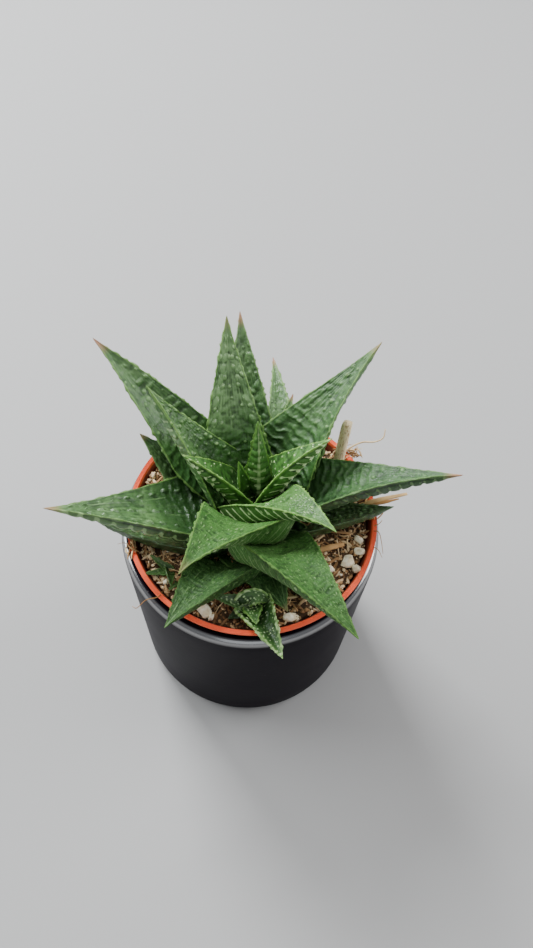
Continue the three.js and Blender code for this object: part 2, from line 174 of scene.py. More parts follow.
# Smooth noise from -1 to 1: random corner values of a square lattice, blended
def lattice(x, y, size, seed):
    x, y = x / size, y / size
    left, low = np.floor(x), np.floor(y)
    fx, fy = x - left, y - low
    fx, fy = fx * fx * (3 - 2 * fx), fy * fy * (3 - 2 * fy)
    near = scatter(left, low, seed) * (1 - fx) + scatter(left + 1, low, seed) * fx
    far = scatter(left, low + 1, seed) * (1 - fx) + scatter(left + 1, low + 1, seed) * fx
    return 2 * (near * (1 - fy) + far * fy) - 1


# The value, kept between 0 and 1
def unit(value):
    return np.clip(value, 0, 1)


# 0 up to start and 1 from there plus width, straight in between
def ramp(value, start, width):
    return unit((value - start) / width)


# 1 up to end less width and 0 from the end, straight in between
def fall(value, end, width):
    return unit((end - value) / width)


# A mesh object from points in millimetres and rows of corner numbers
def addPiece(name, points, faceSets, material, nodes, marks=None):
    mesh = bpy.data.meshes.new(name)
    points = np.asarray(points, dtype=float).reshape(-1, 3)
    mesh.vertices.add(len(points))
    mesh.vertices.foreach_set("co", (points * millimetre).astype(np.float32).ravel())
    faceSets = [np.asarray(faces, dtype=np.int32) for faces in faceSets if len(faces)]
    corners = np.concatenate([faces.ravel() for faces in faceSets])
    sizes = np.concatenate([np.full(len(faces), faces.shape[1], np.int32) for faces in faceSets])
    starts = np.concatenate([[0], np.cumsum(sizes)[:-1]]).astype(np.int32)
    mesh.loops.add(len(corners))
    mesh.loops.foreach_set("vertex_index", corners)
    mesh.polygons.add(len(sizes))
    mesh.polygons.foreach_set("loop_start", starts)
    mesh.polygons.foreach_set("loop_total", sizes)
    mesh.polygons.foreach_set("use_smooth", np.ones(len(sizes), dtype=bool))
    mesh.update(calc_edges=True)
    for key, values in (marks or {}).items():
        values = np.asarray(values, dtype=np.float32)
        kind = "FLOAT" if values.ndim == 1 else "FLOAT_VECTOR"
        layer = mesh.attributes.new(key, kind, "POINT")
        layer.data.foreach_set("value" if kind == "FLOAT" else "vector", values.ravel())
    mesh.materials.append(material)
    piece = bpy.data.objects.new(name, mesh)
    scene.collection.objects.link(piece)
    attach(piece, "root")
    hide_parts(*nodes)
    return piece


# Quads of a grid of rows, each a closed loop of points, and the fans over its two ends
def tubeFaces(rows, around):
    numbers = np.arange(rows * around).reshape(rows, around)
    near, far = numbers[:-1], numbers[1:]
    quads = np.stack([near, np.roll(near, -1, 1), np.roll(far, -1, 1), far], -1).reshape(-1, 4)
    middle = np.arange(1, around - 1)
    start = np.stack([middle * 0, middle + 1, middle], -1)
    last = (rows - 1) * around
    end = np.stack([middle * 0 + last, last + middle, last + middle + 1], -1)
    return quads, np.concatenate([start, end])


# A profile of radius and height pairs, turned round the vertical through middle. A radius of 0
# is one point. Where a height is None, level gives it from x and y, as tint does the colour.
def turnedPiece(name, profile, sides, middle, material, nodes, level=None, tint=None):
    angles = np.linspace(0, fullTurn, sides, endpoint=False)
    points, rings = [], []
    for radius, height in profile:
        rings.append((len(points), radius > 0))
        turns = angles if radius > 0 else np.zeros(1)
        x, y = middle[0] + radius * np.cos(turns), middle[1] + radius * np.sin(turns)
        z = level(x, y) if height is None else height + 0 * x
        points += np.stack([x, y, z], -1).tolist()
    steps = np.arange(sides)
    following = (steps + 1) % sides
    quads, fans = [], []
    for (a, fullA), (b, fullB) in zip(rings[:-1], rings[1:]):
        if fullA and fullB:
            quads.append(np.stack([a + steps, a + following, b + following, b + steps], -1))
        elif fullB:
            fans.append(np.stack([steps * 0 + a, b + following, b + steps], -1))
        else:
            fans.append(np.stack([a + steps, a + following, steps * 0 + b], -1))
    points = np.array(points)
    marks = {"tint": tint(points[:, 0], points[:, 1])} if tint else None
    faces = [np.concatenate(quads), np.concatenate(fans)]
    return addPiece(name, points, faces, material, nodes, marks)


crown = (1, 2.5)  # middle of the rosette

# What every leaf has unless its own entry says otherwise.
# Form: half is the widest half width, at the share widest of the length, and clasp the share of
# it at the foot. rise is the slope at foot and tip, roll the turn about the leaf's own length,
# and foot the place out, sideways and up from the crown. channel is a share of the half width,
# keel a depth, at the share keelAt of the half width; pinch thins the tip over pinchReach.
# Under it: bars, or scales whose depth is a share of the face's width and radius of the pitch.
# On it: studs in rows, drops along the margins, ridges up to ridgeEnd and fine raised lines.
# Colour: shares from 0 to 1, and as factors the tone (the leaf's own darker green and painted shade), the
# lower face's painted shade and the bloom (wax and a painted sheen). The hollow and the shaded foot paint
# shade in the channel and over the foot.
leafDefaults = dict(
    crown=crown, turn=0, roll=(0, 0), bend=1, widest=0.2, clasp=0.72, taper=0.95, pinch=0.55,
    pinchReach=0.11, tipHalf=0.1, channel=0.35, channelPower=1.6, keel=5, keelAt=0, keelSwell=0.25,
    edge=0.45, toothPitch=1.0, toothHeight=0.55,
    scales=False, scaleDepth=0.6, scaleRadius=0.4, longLegs=True, barPitch=3.2, barSlant=0.8,
    barHeight=0.25, barWidth=0.45, barStart=0.16, barBreaks=0.1, barPale=1.0, plateHeight=0.35,
    lobePitch=0, lobeHeight=0.4,
    studPitch=3.3, studSize=0.85, studLong=1.0, studHeight=0.6, studShare=0.5, studStray=1.0,
    rowsOfStuds=5, grooveDepth=0.3, dropPitch=3.5, dropLong=1.25, dropWide=1.1, dropPlace=2.0,
    dropHeight=0.5, dropSide=0, ridgePitch=2.9, ridgeHeight=0.6, ridgeEnd=0.5,
    lines=(-0.5, 0.1, 0.52), lineWidth=0.34, lineHeight=0.14, veins=0.05, wrinkle=0.14, fineWrinkle=0.1,
    white=0.25, dots=0.5, young=0.0, brownTip=0.0, tone=1.0, under=1.0, bloom=1.0, net=0.15,
    keelLine=0.0, hollow=0.0, darkFoot=0.0, rimPale=0.0,
)


# Middle line and cross-section axes of a leaf at the given shares of its length: slope and
# compass turn change along it, and short steps in that direction add up to the line
def leafFrames(leaf, t):
    steps = 400
    dense = np.linspace(0, 1, steps + 1)
    middle = (dense[1:] + dense[:-1]) / 2
    start, end = leaf.rise

    def heading(share):
        rise = np.radians(start + (end - start) * share ** leaf.bend)
        turn = np.radians(leaf.azimuth + leaf.turn * share)
        ahead = [np.cos(rise) * np.cos(turn), np.cos(rise) * np.sin(turn), np.sin(rise)]
        return np.stack(ahead, -1), turn

    path = np.concatenate([np.zeros((1, 3)), np.cumsum(heading(middle)[0], 0) / steps * leaf.length])
    azimuth = math.radians(leaf.azimuth)
    out, shift, height = leaf.foot
    foot = np.array([
        leaf.crown[0] + out * math.cos(azimuth) - shift * math.sin(azimuth),
        leaf.crown[1] + out * math.sin(azimuth) + shift * math.cos(azimuth),
        height,
    ])
    place = foot + np.stack([np.interp(t, dense, path[:, i]) for i in range(3)], -1)
    along, turn = heading(t)
    level = np.stack([-np.sin(turn), np.cos(turn), 0 * turn], -1)
    upright = np.cross(along, level)
    roll = np.radians(leaf.roll[0] + (leaf.roll[1] - leaf.roll[0]) * t)[:, None]
    side = np.cos(roll) * level + np.sin(roll) * upright
    up = np.cos(roll) * upright - np.sin(roll) * level
    return place, side, up


# Raised ovals in a jittered grid, and the groove round each: a cell (a along, b across) may
# hold one, with its radii in cells
def studs(along, across, radiusAlong, radiusAcross, share, stray, seed):
    best, groove = np.zeros_like(along), np.zeros_like(along)
    cellA, cellB = np.floor(along), np.floor(across)
    for a, b in [(cellA + i, cellB + j) for i in (-1, 0, 1) for j in (-1, 0, 1)]:
        x = (along - a - 0.5 - 0.5 * stray * (scatter(a, b, seed) - 0.5)) / radiusAlong
        y = (across - b - 0.5 - 0.4 * stray * (scatter(a, b, seed + 1) - 0.5)) / radiusAcross
        chosen = scatter(a, b, seed + 2)
        tall = np.where(chosen < share, 0.55 + 0.45 * chosen / share, 0)
        reach = x * x + y * y
        best = np.maximum(best, tall * unit(1 - reach) ** 0.45)
        groove = np.maximum(groove, tall * unit(1 - np.abs(reach - 1.5) / 0.5))
    return best, groove * (best < 0.05)


# Cross bars of a lower face: h runs from 0 at the margin to 1 at the keel, u along the leaf.
# A bar is a thin rounded ridge every pitch, slanting towards the keel, and the face swells
# between two bars. As scales, each bar is a U round a swelling: out from the margin, round
# short of the keel and a little way back. The last part is an arch over each pitch.
def crossBars(u, h, face, leaf, seed):
    pitch = leaf.barPitch
    bent = u - leaf.barSlant * h + 0.12 * pitch * lattice(u, 4 * h, 4.0, leaf.number)
    number = np.floor(bent / pitch + 0.5)
    off = bent / pitch - number
    lengths = scatter(number, seed, 9)
    if leaf.scales:
        radius = leaf.scaleRadius * pitch
        x = off * pitch
        y = h * face - np.minimum(leaf.scaleDepth * face, face - radius - 0.4)
        reach = np.hypot(x, np.maximum(y, 0))
        tipLeg = unit((y + 0.5) / 0.4)
        footLeg = ramp(h, leaf.barStart * (0.6 + 0.8 * lengths), 0.06) if leaf.longLegs else tipLeg
        rims = np.exp(-(((reach - radius) / (0.8 * leaf.barWidth)) ** 2)) * np.where(x < 0, footLeg, tipLeg)
        swell = np.sqrt(unit(1 - (reach / radius) ** 2)) * footLeg
        return rims, swell, np.sqrt(unit(1 - 4 * off * off))
    across = off * pitch / leaf.barWidth
    piece = np.floor(h * 2.2 + scatter(number, seed, 5))
    broken = 0.3 + 0.7 * (scatter(number, piece, seed) > leaf.barBreaks)
    ends = ramp(h, leaf.barStart * (0.6 + 1.2 * lengths), 0.08) * fall(h, 1.06, 0.08)
    swell = np.abs(np.sin(math.pi * off)) ** 0.6
    return unit(1 - across * across) ** 0.7 * broken * ends, swell, swell


# Drops along each margin of an upper face and the moat round each: ovals every pitch, at one
# distance from the margin
def marginDrops(u, distance, leaf, seed):
    place = u / leaf.dropPitch
    number = np.floor(place)
    nudge = 0.3 * (scatter(number, seed, 4) - 0.5)
    x = (place - number - 0.5 - nudge) * leaf.dropPitch / leaf.dropLong
    y = (distance - leaf.dropPlace * (0.85 + 0.3 * scatter(number, seed, 6))) / leaf.dropWide
    size = 0.6 + 0.4 * scatter(number, seed, 8)
    reach = x * x + y * y
    return size * unit(1 - reach) ** 0.6, size * unit(1 - np.abs(reach - 1.6) / 0.6)


# Raised lines along an upper face, each at its share of the half width, a little wavy
def raisedLines(u, across, wide, leaf, seed):
    best = np.zeros_like(across)
    for order, spot in enumerate(leaf.lines):
        wander = 0.07 * lattice(u, 0 * u + 9.7 * order, 9.0, seed)
        off = (across - spot - wander) * wide / leaf.lineWidth
        strength = unit(0.5 + lattice(u, 0 * u + 5.3 * order, 4.0, seed + 3))
        best = np.maximum(best, unit(1 - off * off) * strength)
    return best


# Wavy ridges across the foot of an upper face, steeper on one side, broken along their length
def footRidges(u, s, pitch, seed):
    phase = (u + 1.3 * lattice(s, u * 0.3, 3.1, seed) + 0.5 * lattice(s, u, 1.3, seed + 1)) / pitch
    share = phase - np.floor(phase)
    crest = unit(share / 0.14) * fall(share, 0.56, 0.4)
    return crest * unit(0.75 + 0.9 * lattice(s, np.floor(phase) * 5.1, 2.6, seed + 2))


# Half width along a leaf: a quarter sine from the clasp out to the widest place, then a power
# curve in to the tip, pinched near its end
def halfWidths(leaf, t):
    opening = np.sin(math.pi / 2 * np.minimum(t / leaf.widest, 1))
    rising = leaf.half * (leaf.clasp + (1 - leaf.clasp) * opening)
    closing = unit((1 - t) / (1 - leaf.widest)) ** leaf.taper
    falling = leaf.tipHalf + (leaf.half - leaf.tipHalf) * closing
    falling = falling * (1 - leaf.pinch * np.exp(-(1 - t) / leaf.pinchReach))
    return np.where(t < leaf.widest, rising, falling)[:, None]


# Shares from -1 to 1, closer together near both ends
def spread(count):
    even = np.linspace(-1, 1, count)
    return 0.45 * np.sin(math.pi / 2 * even) + 0.55 * even


# The smooth leaf as rows along it, each a loop of s (across) and n (up) over the upper face, a
# margin of three points, the lower face and the other margin. Upper face: a channel,
# -c (1 - |s|^1.6). Lower face: two slopes to the keel at s = keelAt, each a little swollen.
# Teeth push the margins out. In the result, margin is the distance from the margin, h the share
# of the way from there to the keel, share that of the length, and lane counts rows of studs.
def leafGrid(leaf, rows, across, seed):
    t = np.linspace(0, 1, rows)
    wide = halfWidths(leaf, t)
    channel = leaf.channel * wide
    keel = leaf.keel * np.sqrt(1 - t) * (0.55 + 0.45 * np.minimum(1, t / 0.12))
    keel = np.minimum(keel[:, None], 0.9 * wide + 0.15)
    depth = np.maximum(channel + keel, np.minimum(leaf.edge, 2 * wide))
    edge = np.minimum(leaf.edge, 0.8 * depth)
    ones = np.ones((rows, 1))
    blank = np.zeros((rows, 3))
    upper = spread(across[0])[None, ::-1] * ones
    lower = spread(across[1])
    keelAt = leaf.keelAt
    h = np.where(lower > keelAt, (1 - lower) / (1 - keelAt), (1 + lower) / (1 + keelAt))[None] * ones
    soft = 1 - np.sqrt((1 - h) ** 2 + 0.0025) + 0.05 * h
    upperN = -channel * (1 - np.abs(upper) ** leaf.channelPower)
    lowerN = -edge - (depth - edge) * soft - leaf.keelSwell * np.sin(math.pi * h) * keel
    marginN = -edge * np.array([[0.15, 0.5, 0.85]])
    u = t * leaf.length
    teeth = np.stack([lattice(u, 0 * u + 13.7 * side, leaf.toothPitch, seed + side) for side in (1, 2)])
    teeth = leaf.toothHeight * unit(0.1 + 1.2 * teeth)[..., None] * fall(t, 1, 0.15)[:, None]
    roundOut = np.array([0.7, 1.0, 0.7]) * 0.5
    left, right = [(edge + 2 * tooth) * roundOut for tooth in teeth]
    s = np.concatenate([upper * wide, -wide - left, lower[None] * wide, wide + right], 1)
    n = np.concatenate([upperN, marginN, lowerN, marginN[:, ::-1]], 1)
    atMargin = blank + 0.15
    isUpper = np.zeros(s.shape[1])
    isUpper[:across[0]] = 1
    return SimpleNamespace(
        t=t, s=s, n=n, wide=wide, depth=depth, isUpper=isUpper, lane=(s / wide + 1) / 2 * leaf.rowsOfStuds,
        u=u[:, None] * np.ones_like(s), share=t[:, None] * np.ones_like(s),
        margin=np.concatenate([(1 - np.abs(upper)) * wide, atMargin, h * wide, atMargin], 1),
        h=np.concatenate([0 * upper, blank, h, blank], 1),
    )


# Studs in rows over both faces, the grooves round the upper ones, and the ridges of the foot,
# which leave the studs no room
def studsAndRidges(leaf, grid, seed):
    u, s, share, isUpper = grid.u, grid.s, grid.share, grid.isUpper
    size = leaf.studSize * (0.75 + 0.5 * lattice(u, s, 4.0, seed + 4))
    longer = 1 + 0.9 * unit(1 - share / 0.45)
    laneWidth = 2 * grid.wide / leaf.rowsOfStuds
    radii = size * leaf.studLong / leaf.studPitch, np.minimum(size * longer / laneWidth, 0.46)
    cells = u / leaf.studPitch + 50, grid.lane + 50
    nubs, grooves = studs(*cells, *radii, leaf.studShare, leaf.studStray, seed)
    inside = unit(grid.margin / 0.7)
    grooves = grooves * isUpper * inside * ramp(share, 0.1, 0.2)
    ridges = footRidges(u, s, leaf.ridgePitch, seed) * fall(share, leaf.ridgeEnd, 0.2)
    ridges = ridges * unit(grid.margin / 1.2) * isUpper
    taken = fall(share, leaf.ridgeEnd - 0.12, 0.15) * (leaf.ridgeHeight > 0.3) * isUpper
    nubs = nubs * inside * (1 - taken) * np.maximum(isUpper, 0.6 * (grid.h < 0.55))
    return nubs, grooves, ridges


# The lower face: bars or scales, the swellings between them, the arch over each and the lobes
# that the arches make near the keel
def underside(leaf, grid, sideSeed):
    isLower = 1 - grid.isUpper
    slope = np.where(grid.s > leaf.keelAt * grid.wide, 1 - leaf.keelAt, 1 + leaf.keelAt)
    face = np.hypot(slope * grid.wide, grid.depth)
    bars, plates, arch = [part * isLower for part in crossBars(grid.u, grid.h, face, leaf, sideSeed)]
    if leaf.lobePitch:
        phase = (grid.u - leaf.barSlant) / leaf.lobePitch + sideSeed
        arch = np.sqrt(unit(1 - (2 * (phase - np.floor(phase)) - 1) ** 2)) * isLower
    nearKeel = ramp(grid.h, 0.55, 0.45)
    lobes = arch * nearKeel * np.clip((1 - grid.share) / 0.5, 0.25, 1)
    return bars, plates - 0.4 * isLower, arch, lobes - nearKeel * 0.5


# How far the skin is raised, how pale it is and how much painted shade it gets, everywhere on the grid
def leafRelief(leaf, grid, seed):
    u, s, h, wide, share, isUpper = grid.u, grid.s, grid.h, grid.wide, grid.share, grid.isUpper
    sideSeed = np.where(s > leaf.keelAt * wide, 1.0, 2.0) + seed
    nubs, grooves, ridges = studsAndRidges(leaf, grid, seed)
    bars, plates, arch, lobes = underside(leaf, grid, sideSeed)
    shown = isUpper * unit(wide / 5) ** 2 * (s * leaf.dropSide >= 0)
    shown = shown * np.clip(0.8 + 0.8 * lattice(u, s, 3.0, seed + 6), 0.2, 1)
    drops, moats = [part * shown for part in marginDrops(u, grid.margin, leaf, sideSeed)]
    grooves = np.maximum(grooves, moats * (leaf.dropHeight > 0.4) * (nubs < 0.05))
    lines = raisedLines(u, s / wide, wide, leaf, seed) * isUpper * ramp(share, 0.15, 0.2)
    stripes = fullTurn * grid.lane * 3 + 2 * lattice(u, s, 5, seed)
    veins = leaf.veins * np.cos(stripes) * isUpper * ramp(share, 0.3, 0.3)
    wrinkles = leaf.wrinkle * lattice(u, s, 1.7, seed + 9) + leaf.fineWrinkle * lattice(u, s, 0.85, seed + 10)

    raised = leaf.studHeight * (nubs - leaf.grooveDepth * grooves) + leaf.ridgeHeight * ridges
    raised = np.maximum(raised + leaf.barHeight * bars, leaf.dropHeight * drops) + leaf.lineHeight * lines
    raised = raised + leaf.plateHeight * plates * unit(h / 0.25)
    raised = raised + leaf.lobeHeight * lobes + wrinkles + veins
    raised = raised * fall(share, 1, 0.1) * np.clip(wide / 3, 0.1, 1)

    pale = np.maximum.reduce([
        nubs * np.where(isUpper > 0, leaf.dots, 1), leaf.barPale * bars, 0.18 * ridges, 0.3 * lines,
        0.6 * leaf.dots * drops, ramp(h, 0.92, 0.05) * unit(arch - 0.25), leaf.keelLine * ramp(h, 0.86, 0.08),
    ])
    # Painted shade in low places, in the grooves round studs, in the channel of a hollow leaf and over a
    # shaded foot
    deep = np.maximum.reduce([
        np.clip(0.15 - raised, 0, 0.4) / 0.4, 0.9 * grooves * unit(wide / 4),
        leaf.hollow * unit(1 - (s / wide) ** 2) * isUpper * fall(share, 1, 0.4),
        leaf.darkFoot * fall(share, 0.55, 0.2),
    ])
    return raised, pale, deep


# One leaf as points, faces and the numbers that its skin's material reads. The relief moves each
# point of the smooth loop square to the loop, and the leaf's frame carries it to its place.
def leafMesh(form, number, rowPitch, columnWidth):
    values = dict(leafDefaults, number=number)
    for part in (*form.get("like", ()), form):
        values.update(part)
    leaf = SimpleNamespace(**values)
    rows = max(24, int(leaf.length / rowPitch))
    across = [int(share * leaf.half / columnWidth) + 12 for share in (2, 1.4)]
    seed = 7.3 * number
    grid = leafGrid(leaf, rows, across, seed)
    raised, pale, deep = leafRelief(leaf, grid, seed)
    place, side, up = leafFrames(leaf, grid.t)
    stepS = np.roll(grid.s, -1, 1) - np.roll(grid.s, 1, 1)
    stepN = np.roll(grid.n, -1, 1) - np.roll(grid.n, 1, 1)
    length = np.sqrt(stepS * stepS + stepN * stepN) + 1e-9
    s, n = grid.s + stepN / length * raised, grid.n - stepS / length * raised
    points = place[:, None] + s[..., None] * side[:, None] + n[..., None] * up[:, None]
    fuzz = fall(grid.margin, 0.7, 0.3) * unit(0.6 + lattice(grid.u, s, 0.7, seed + 12))
    pale = np.maximum(pale, leaf.rimPale * fuzz)
    # Painted shade: the leaf's tone, partly its own darker green, and the lower face darker still
    tone = leaf.tone * (grid.isUpper + (1 - grid.isUpper) * leaf.under)

    def columns(*values):
        return np.stack([np.broadcast_to(value, s.shape).ravel() for value in values], -1)

    # The depth attribute carries the painted shade, the tone with its painted shade, and the bloom with its
    # painted sheen
    marks = {
        "surface": columns(grid.u, s, grid.isUpper) / [10, 10, 1],
        "marks": columns(grid.margin / 3, pale, grid.share),
        "net": np.full(s.size, leaf.net),
        "kind": columns(leaf.young, leaf.white, leaf.brownTip),
        "depth": columns(deep, tone, leaf.bloom),
    }
    return points.reshape(-1, 3), tubeFaces(rows, s.shape[1]), marks


# Marks of the young leaves of the heart, and of the smoother leaves at the front
youngMarks = dict(white=0.8, young=1, scales=True, barPitch=3.3, barHeight=0.22, barSlant=1.8,
    plateHeight=0.4, studPitch=3.0, studSize=0.55, studHeight=0.4, ridgeHeight=0.0, veins=0.0, bloom=0.2,
    rowsOfStuds=6, dropHeight=0.3, dropLong=0.7, dropWide=0.7, dropPlace=1.5, lines=(), toothPitch=0.8,
    net=0.0)
frontMarks = dict(scales=False, studSize=0.32, studPitch=2.6, rowsOfStuds=12, studHeight=0.3,
    ridgeHeight=0.3, ridgeEnd=1.0, ridgePitch=1.7, white=0.6, bloom=0.2, dots=0.36, dropHeight=0.15,
    studShare=0.5, net=0.5, studLong=2.4, toothHeight=0.45, toothPitch=0.8, plateHeight=0.25,
    barWidth=0.3, barHeight=0.3, barBreaks=0.05, barPale=0.38)

# The rosette from its heart outwards; azimuth 0 is to the photo's right and 90 away from it.
# Each leaf has its form, then what its skin shows, on top of the marks that it is like.
# A tone below 1 darkens a leaf with painted shade, partly its own darker green; the lower face's factor does
# the same for that face
rosette = {
    "leaf_heart_small": dict(azimuth=137, turn=-4, length=20, rise=(72, 70), half=3.6, roll=(10, 5),
        foot=(1, 1, 93), keel=3, like=(youngMarks,), scales=False, barPitch=2.4, barHeight=0.05,
        barStart=0.3, toothHeight=0.25),
    "leaf_heart": dict(azimuth=95, turn=6, length=28.6, rise=(71, 71), half=4.7, roll=(180, 180),
        foot=(5, -1, 94), keel=3.5, like=(youngMarks,), white=0.25, scales=False, barPitch=2.6,
        barHeight=0.2, barSlant=1.0, toothPitch=0.9, barStart=0.5, keelLine=0.6, tone=0.75),
    "leaf_inner_left": dict(azimuth=184, turn=3, length=35, rise=(62, 35), half=10.5, roll=(28, 28),
        foot=(0, -3, 93.4), keelAt=0.15, like=(youngMarks,), white=0.9, barPitch=3.1, barWidth=0.5,
        barStart=0.2, edge=0.4),
    "leaf_inner_right": dict(azimuth=12, turn=-5, length=39, rise=(69, 32), half=10.5, roll=(-20, -39),
        foot=(-0.5, 4.5, 93.8), keelAt=-0.15, like=(youngMarks,), white=1.0, barPitch=3.4, barHeight=0.3,
        barSlant=2.6, barWidth=0.55, barStart=0.14),
    "leaf_front_right_upper": dict(azimuth=-42, turn=-2, length=54, rise=(82, -1), half=13,
        roll=(-36, 11), foot=(-0.5, -1.5, 90.2), keel=6, keelAt=-0.65, channel=0.25, clasp=0.6,
        taper=1.05, bend=1.2, like=(youngMarks, frontMarks), white=0.85, young=0.9, barSlant=3.0,
        bloom=0.4, barPale=1.0, barStart=0.03, lobePitch=1.1, lobeHeight=0.2, tone=0.9),
    "leaf_back_left_upper": dict(azimuth=154, turn=1, length=54, rise=(50, 45), half=13, roll=(7, 41),
        foot=(3, -0.5, 91.2), keelAt=0.2, white=0.5, dots=0.45, young=0.5, studPitch=3.2, studSize=0.75,
        studHeight=0.8, studShare=0.65, ridgeEnd=0.2, rowsOfStuds=6, dropWide=0.8),
    "leaf_front_left_upper": dict(azimuth=-123, turn=6, length=63, rise=(78, -7), half=15,
        roll=(47, -19), foot=(2.5, 4.5, 88.8), keel=6, keelAt=0.6, channel=0.3, widest=0.34, clasp=0.53,
        taper=1.05, bend=1.3, like=(youngMarks, frontMarks), white=0.5, young=0.8, barPitch=2.8,
        barSlant=2.6, barStart=0.06, lobePitch=1.1, lobeHeight=0.2, brownTip=0.3, tone=0.7),
    "leaf_back": dict(azimuth=105, turn=-7, length=61, rise=(49, 39), half=12, roll=(-4, 10),
        foot=(5.5, 3.5, 90), white=0.55, young=0.3, brownTip=0.4, ridgeEnd=0.42, bloom=2.3,
        studShare=0.4, dropLong=1.6, dropWide=1.0, dropHeight=0.7),
    "leaf_front_right": dict(azimuth=-62, turn=12, length=70, rise=(76, -18), half=13.7, roll=(-28, -12),
        foot=(7.7, -3.7, 86.9), keel=6, keelAt=-0.6, channel=0.3, widest=0.28, clasp=0.52, taper=0.9,
        like=(youngMarks, frontMarks), white=0.4, young=0.7, barPitch=2.9, barSlant=2.4, lobePitch=1.2,
        lobeHeight=0.15, tone=0.58),
    "leaf_back_right": dict(azimuth=48, turn=-9, length=66, rise=(50.5, 31), half=14.7, roll=(5, -40),
        foot=(5.5, 3.7, 89.8), white=0.4, young=0.3, brownTip=0.6, ridgeEnd=0.6, ridgePitch=3.4,
        ridgeHeight=0.8, bloom=0.6, tone=0.92, dropLong=1.5, dropHeight=0.6, dropSide=1),
    "leaf_back_left": dict(azimuth=145, turn=4, length=74, rise=(49, 26), half=11, roll=(1, -2),
        foot=(6.7, 1, 86.5), widest=0.34, clasp=0.5, white=0.45, young=0.2, brownTip=1.0, ridgePitch=3.3,
        ridgeHeight=0.5, dropLong=0.85, dropWide=2.0, dropPlace=2.9, dropHeight=0.9, dots=0.7,
        lines=(0.6, 0.35, 0.05), dropSide=-1, studShare=0.35),
    "leaf_right": dict(azimuth=-2, turn=-6, length=66.5, rise=(41, 14), half=15, roll=(-10, -42),
        foot=(4.7, 5, 90.8), keelAt=-0.2, white=0.45, young=0.15, brownTip=1.0, ridgeEnd=0.62,
        ridgePitch=3.0, ridgeHeight=0.85, scales=True, barPitch=3.5, lobeHeight=0.7, plateHeight=0.5,
        studShare=0.3, bloom=0.1, dropHeight=0.35, under=0.75, tone=0.88, keelLine=0.5),
    "leaf_left": dict(azimuth=204, turn=-6, length=66, rise=(28.5, 22), half=15.4, roll=(-4, 26),
        foot=(5, -2.3, 91.6), keel=4.5, keelAt=0.8, widest=0.12, taper=1.0, clasp=0.78, channel=0.25,
        column=0.4, white=0.75, young=0.25, tone=0.9, darkFoot=0.85, brownTip=0.8, ridgeEnd=0.42,
        ridgePitch=3.0, ridgeHeight=0.85, studPitch=4.6, studHeight=0.8, studShare=1.0, rowsOfStuds=3,
        scales=True, studLong=1.7, studStray=0.35, dropHeight=0, scaleDepth=0.3, scaleRadius=0.47,
        longLegs=False, barPitch=4.8, barWidth=0.55, lobeHeight=1.9, plateHeight=0.5, bloom=1.2,
        dots=0.25, under=0.95, barHeight=0.35, keelLine=0.7, barSlant=0.2),
    "leaf_back_lower": dict(azimuth=99, turn=1, length=63, rise=(42, 27.5), half=10.6, foot=(7, 0.3, 88),
        brownTip=1.0, ridgeEnd=0.6, bloom=1.1, dropHeight=0.8, tone=0.9),
    "leaf_front_left_lower": dict(azimuth=-122, turn=3, length=46.5, rise=(34, -5), half=15,
        roll=(26, 20), foot=(8.5, 3.3, 86), keelAt=0.5, like=(frontMarks,), white=0.45, young=0.4,
        tone=0.4),
    "leaf_front_lower": dict(azimuth=-73, turn=16, length=33, rise=(24, -7), half=12.7, roll=(0, 20),
        foot=(7.3, -3, 86.8), like=(frontMarks,), brownTip=0.4, tone=0.6, young=0.2),
    "leaf_right_lower": dict(azimuth=-3, turn=11, length=41, rise=(20, 10), half=12, roll=(-31, -28),
        foot=(7, -1, 86.8), like=(frontMarks,), studSize=0.55, studPitch=1.9, rowsOfStuds=8,
        studHeight=0.6, bloom=1, dots=0.5, plateHeight=0.4, lobeHeight=0.6, tone=0.42, under=0.9,
        barPitch=1.9),
    "leaf_left_lower": dict(azimuth=197, turn=-20, length=46.5, rise=(13, 11), half=13.6, roll=(30, 21),
        foot=(9, 3.3, 86), keelAt=0.25, brownTip=0.3, studSize=0.5, tone=0.35, rowsOfStuds=8,
        studPitch=2.2, studHeight=0.45, ridgeHeight=0.2, dots=0.9, white=0.4),
    "leaf_back_left_lower": dict(azimuth=160, turn=-11, length=41, rise=(42, 25), half=9.8,
        roll=(-4, -3), foot=(8.8, 2.5, 85), widest=0.34, clasp=0.55, brownTip=0.5, tone=0.7,
        studShare=0.8),
    "leaf_back_right_lower": dict(azimuth=86, turn=17, length=53, rise=(28, 1.5), half=7, roll=(-5, -8),
        foot=(8.4, -6, 87), young=0.4, brownTip=1.0),
    "leaf_front_right_lower": dict(azimuth=-56, length=31, rise=(16, -8), half=12, foot=(8, 0, 87.4)),
    "leaf_right_back_lower": dict(azimuth=53, length=45, rise=(36, 24), half=10.5, foot=(8, 0, 87)),
    "leaf_back_small": dict(azimuth=75, length=36, rise=(34, 23), half=5, foot=(9, 0, 87), brownTip=1.0),
}
youngCount = 9

# The two darkest greens are painted shade; the two wax greens are partly a painted sheen
leafColours = dict(
    oldDark=(0.021, 0.070, 0.019, 1), oldLight=(0.053, 0.146, 0.042, 1), youngDark=(0.038, 0.140, 0.017, 1),
    youngLight=(0.088, 0.238, 0.040, 1), lines=(0.12, 0.26, 0.07, 1), deep=(0.008, 0.030, 0.006, 1),
    wax=(0.140, 0.255, 0.092, 1), thickWax=(0.26, 0.43, 0.19, 1), shadow=(0.006, 0.018, 0.004, 1),
    net=(0.20, 0.38, 0.11, 1), oldPale=(0.20, 0.40, 0.13, 1), youngPale=(0.78, 0.98, 0.52, 1),
    oldRim=(0.22, 0.40, 0.10, 1), youngRim=(0.28, 0.52, 0.10, 1), dry=(0.40, 0.20, 0.12, 1),
)
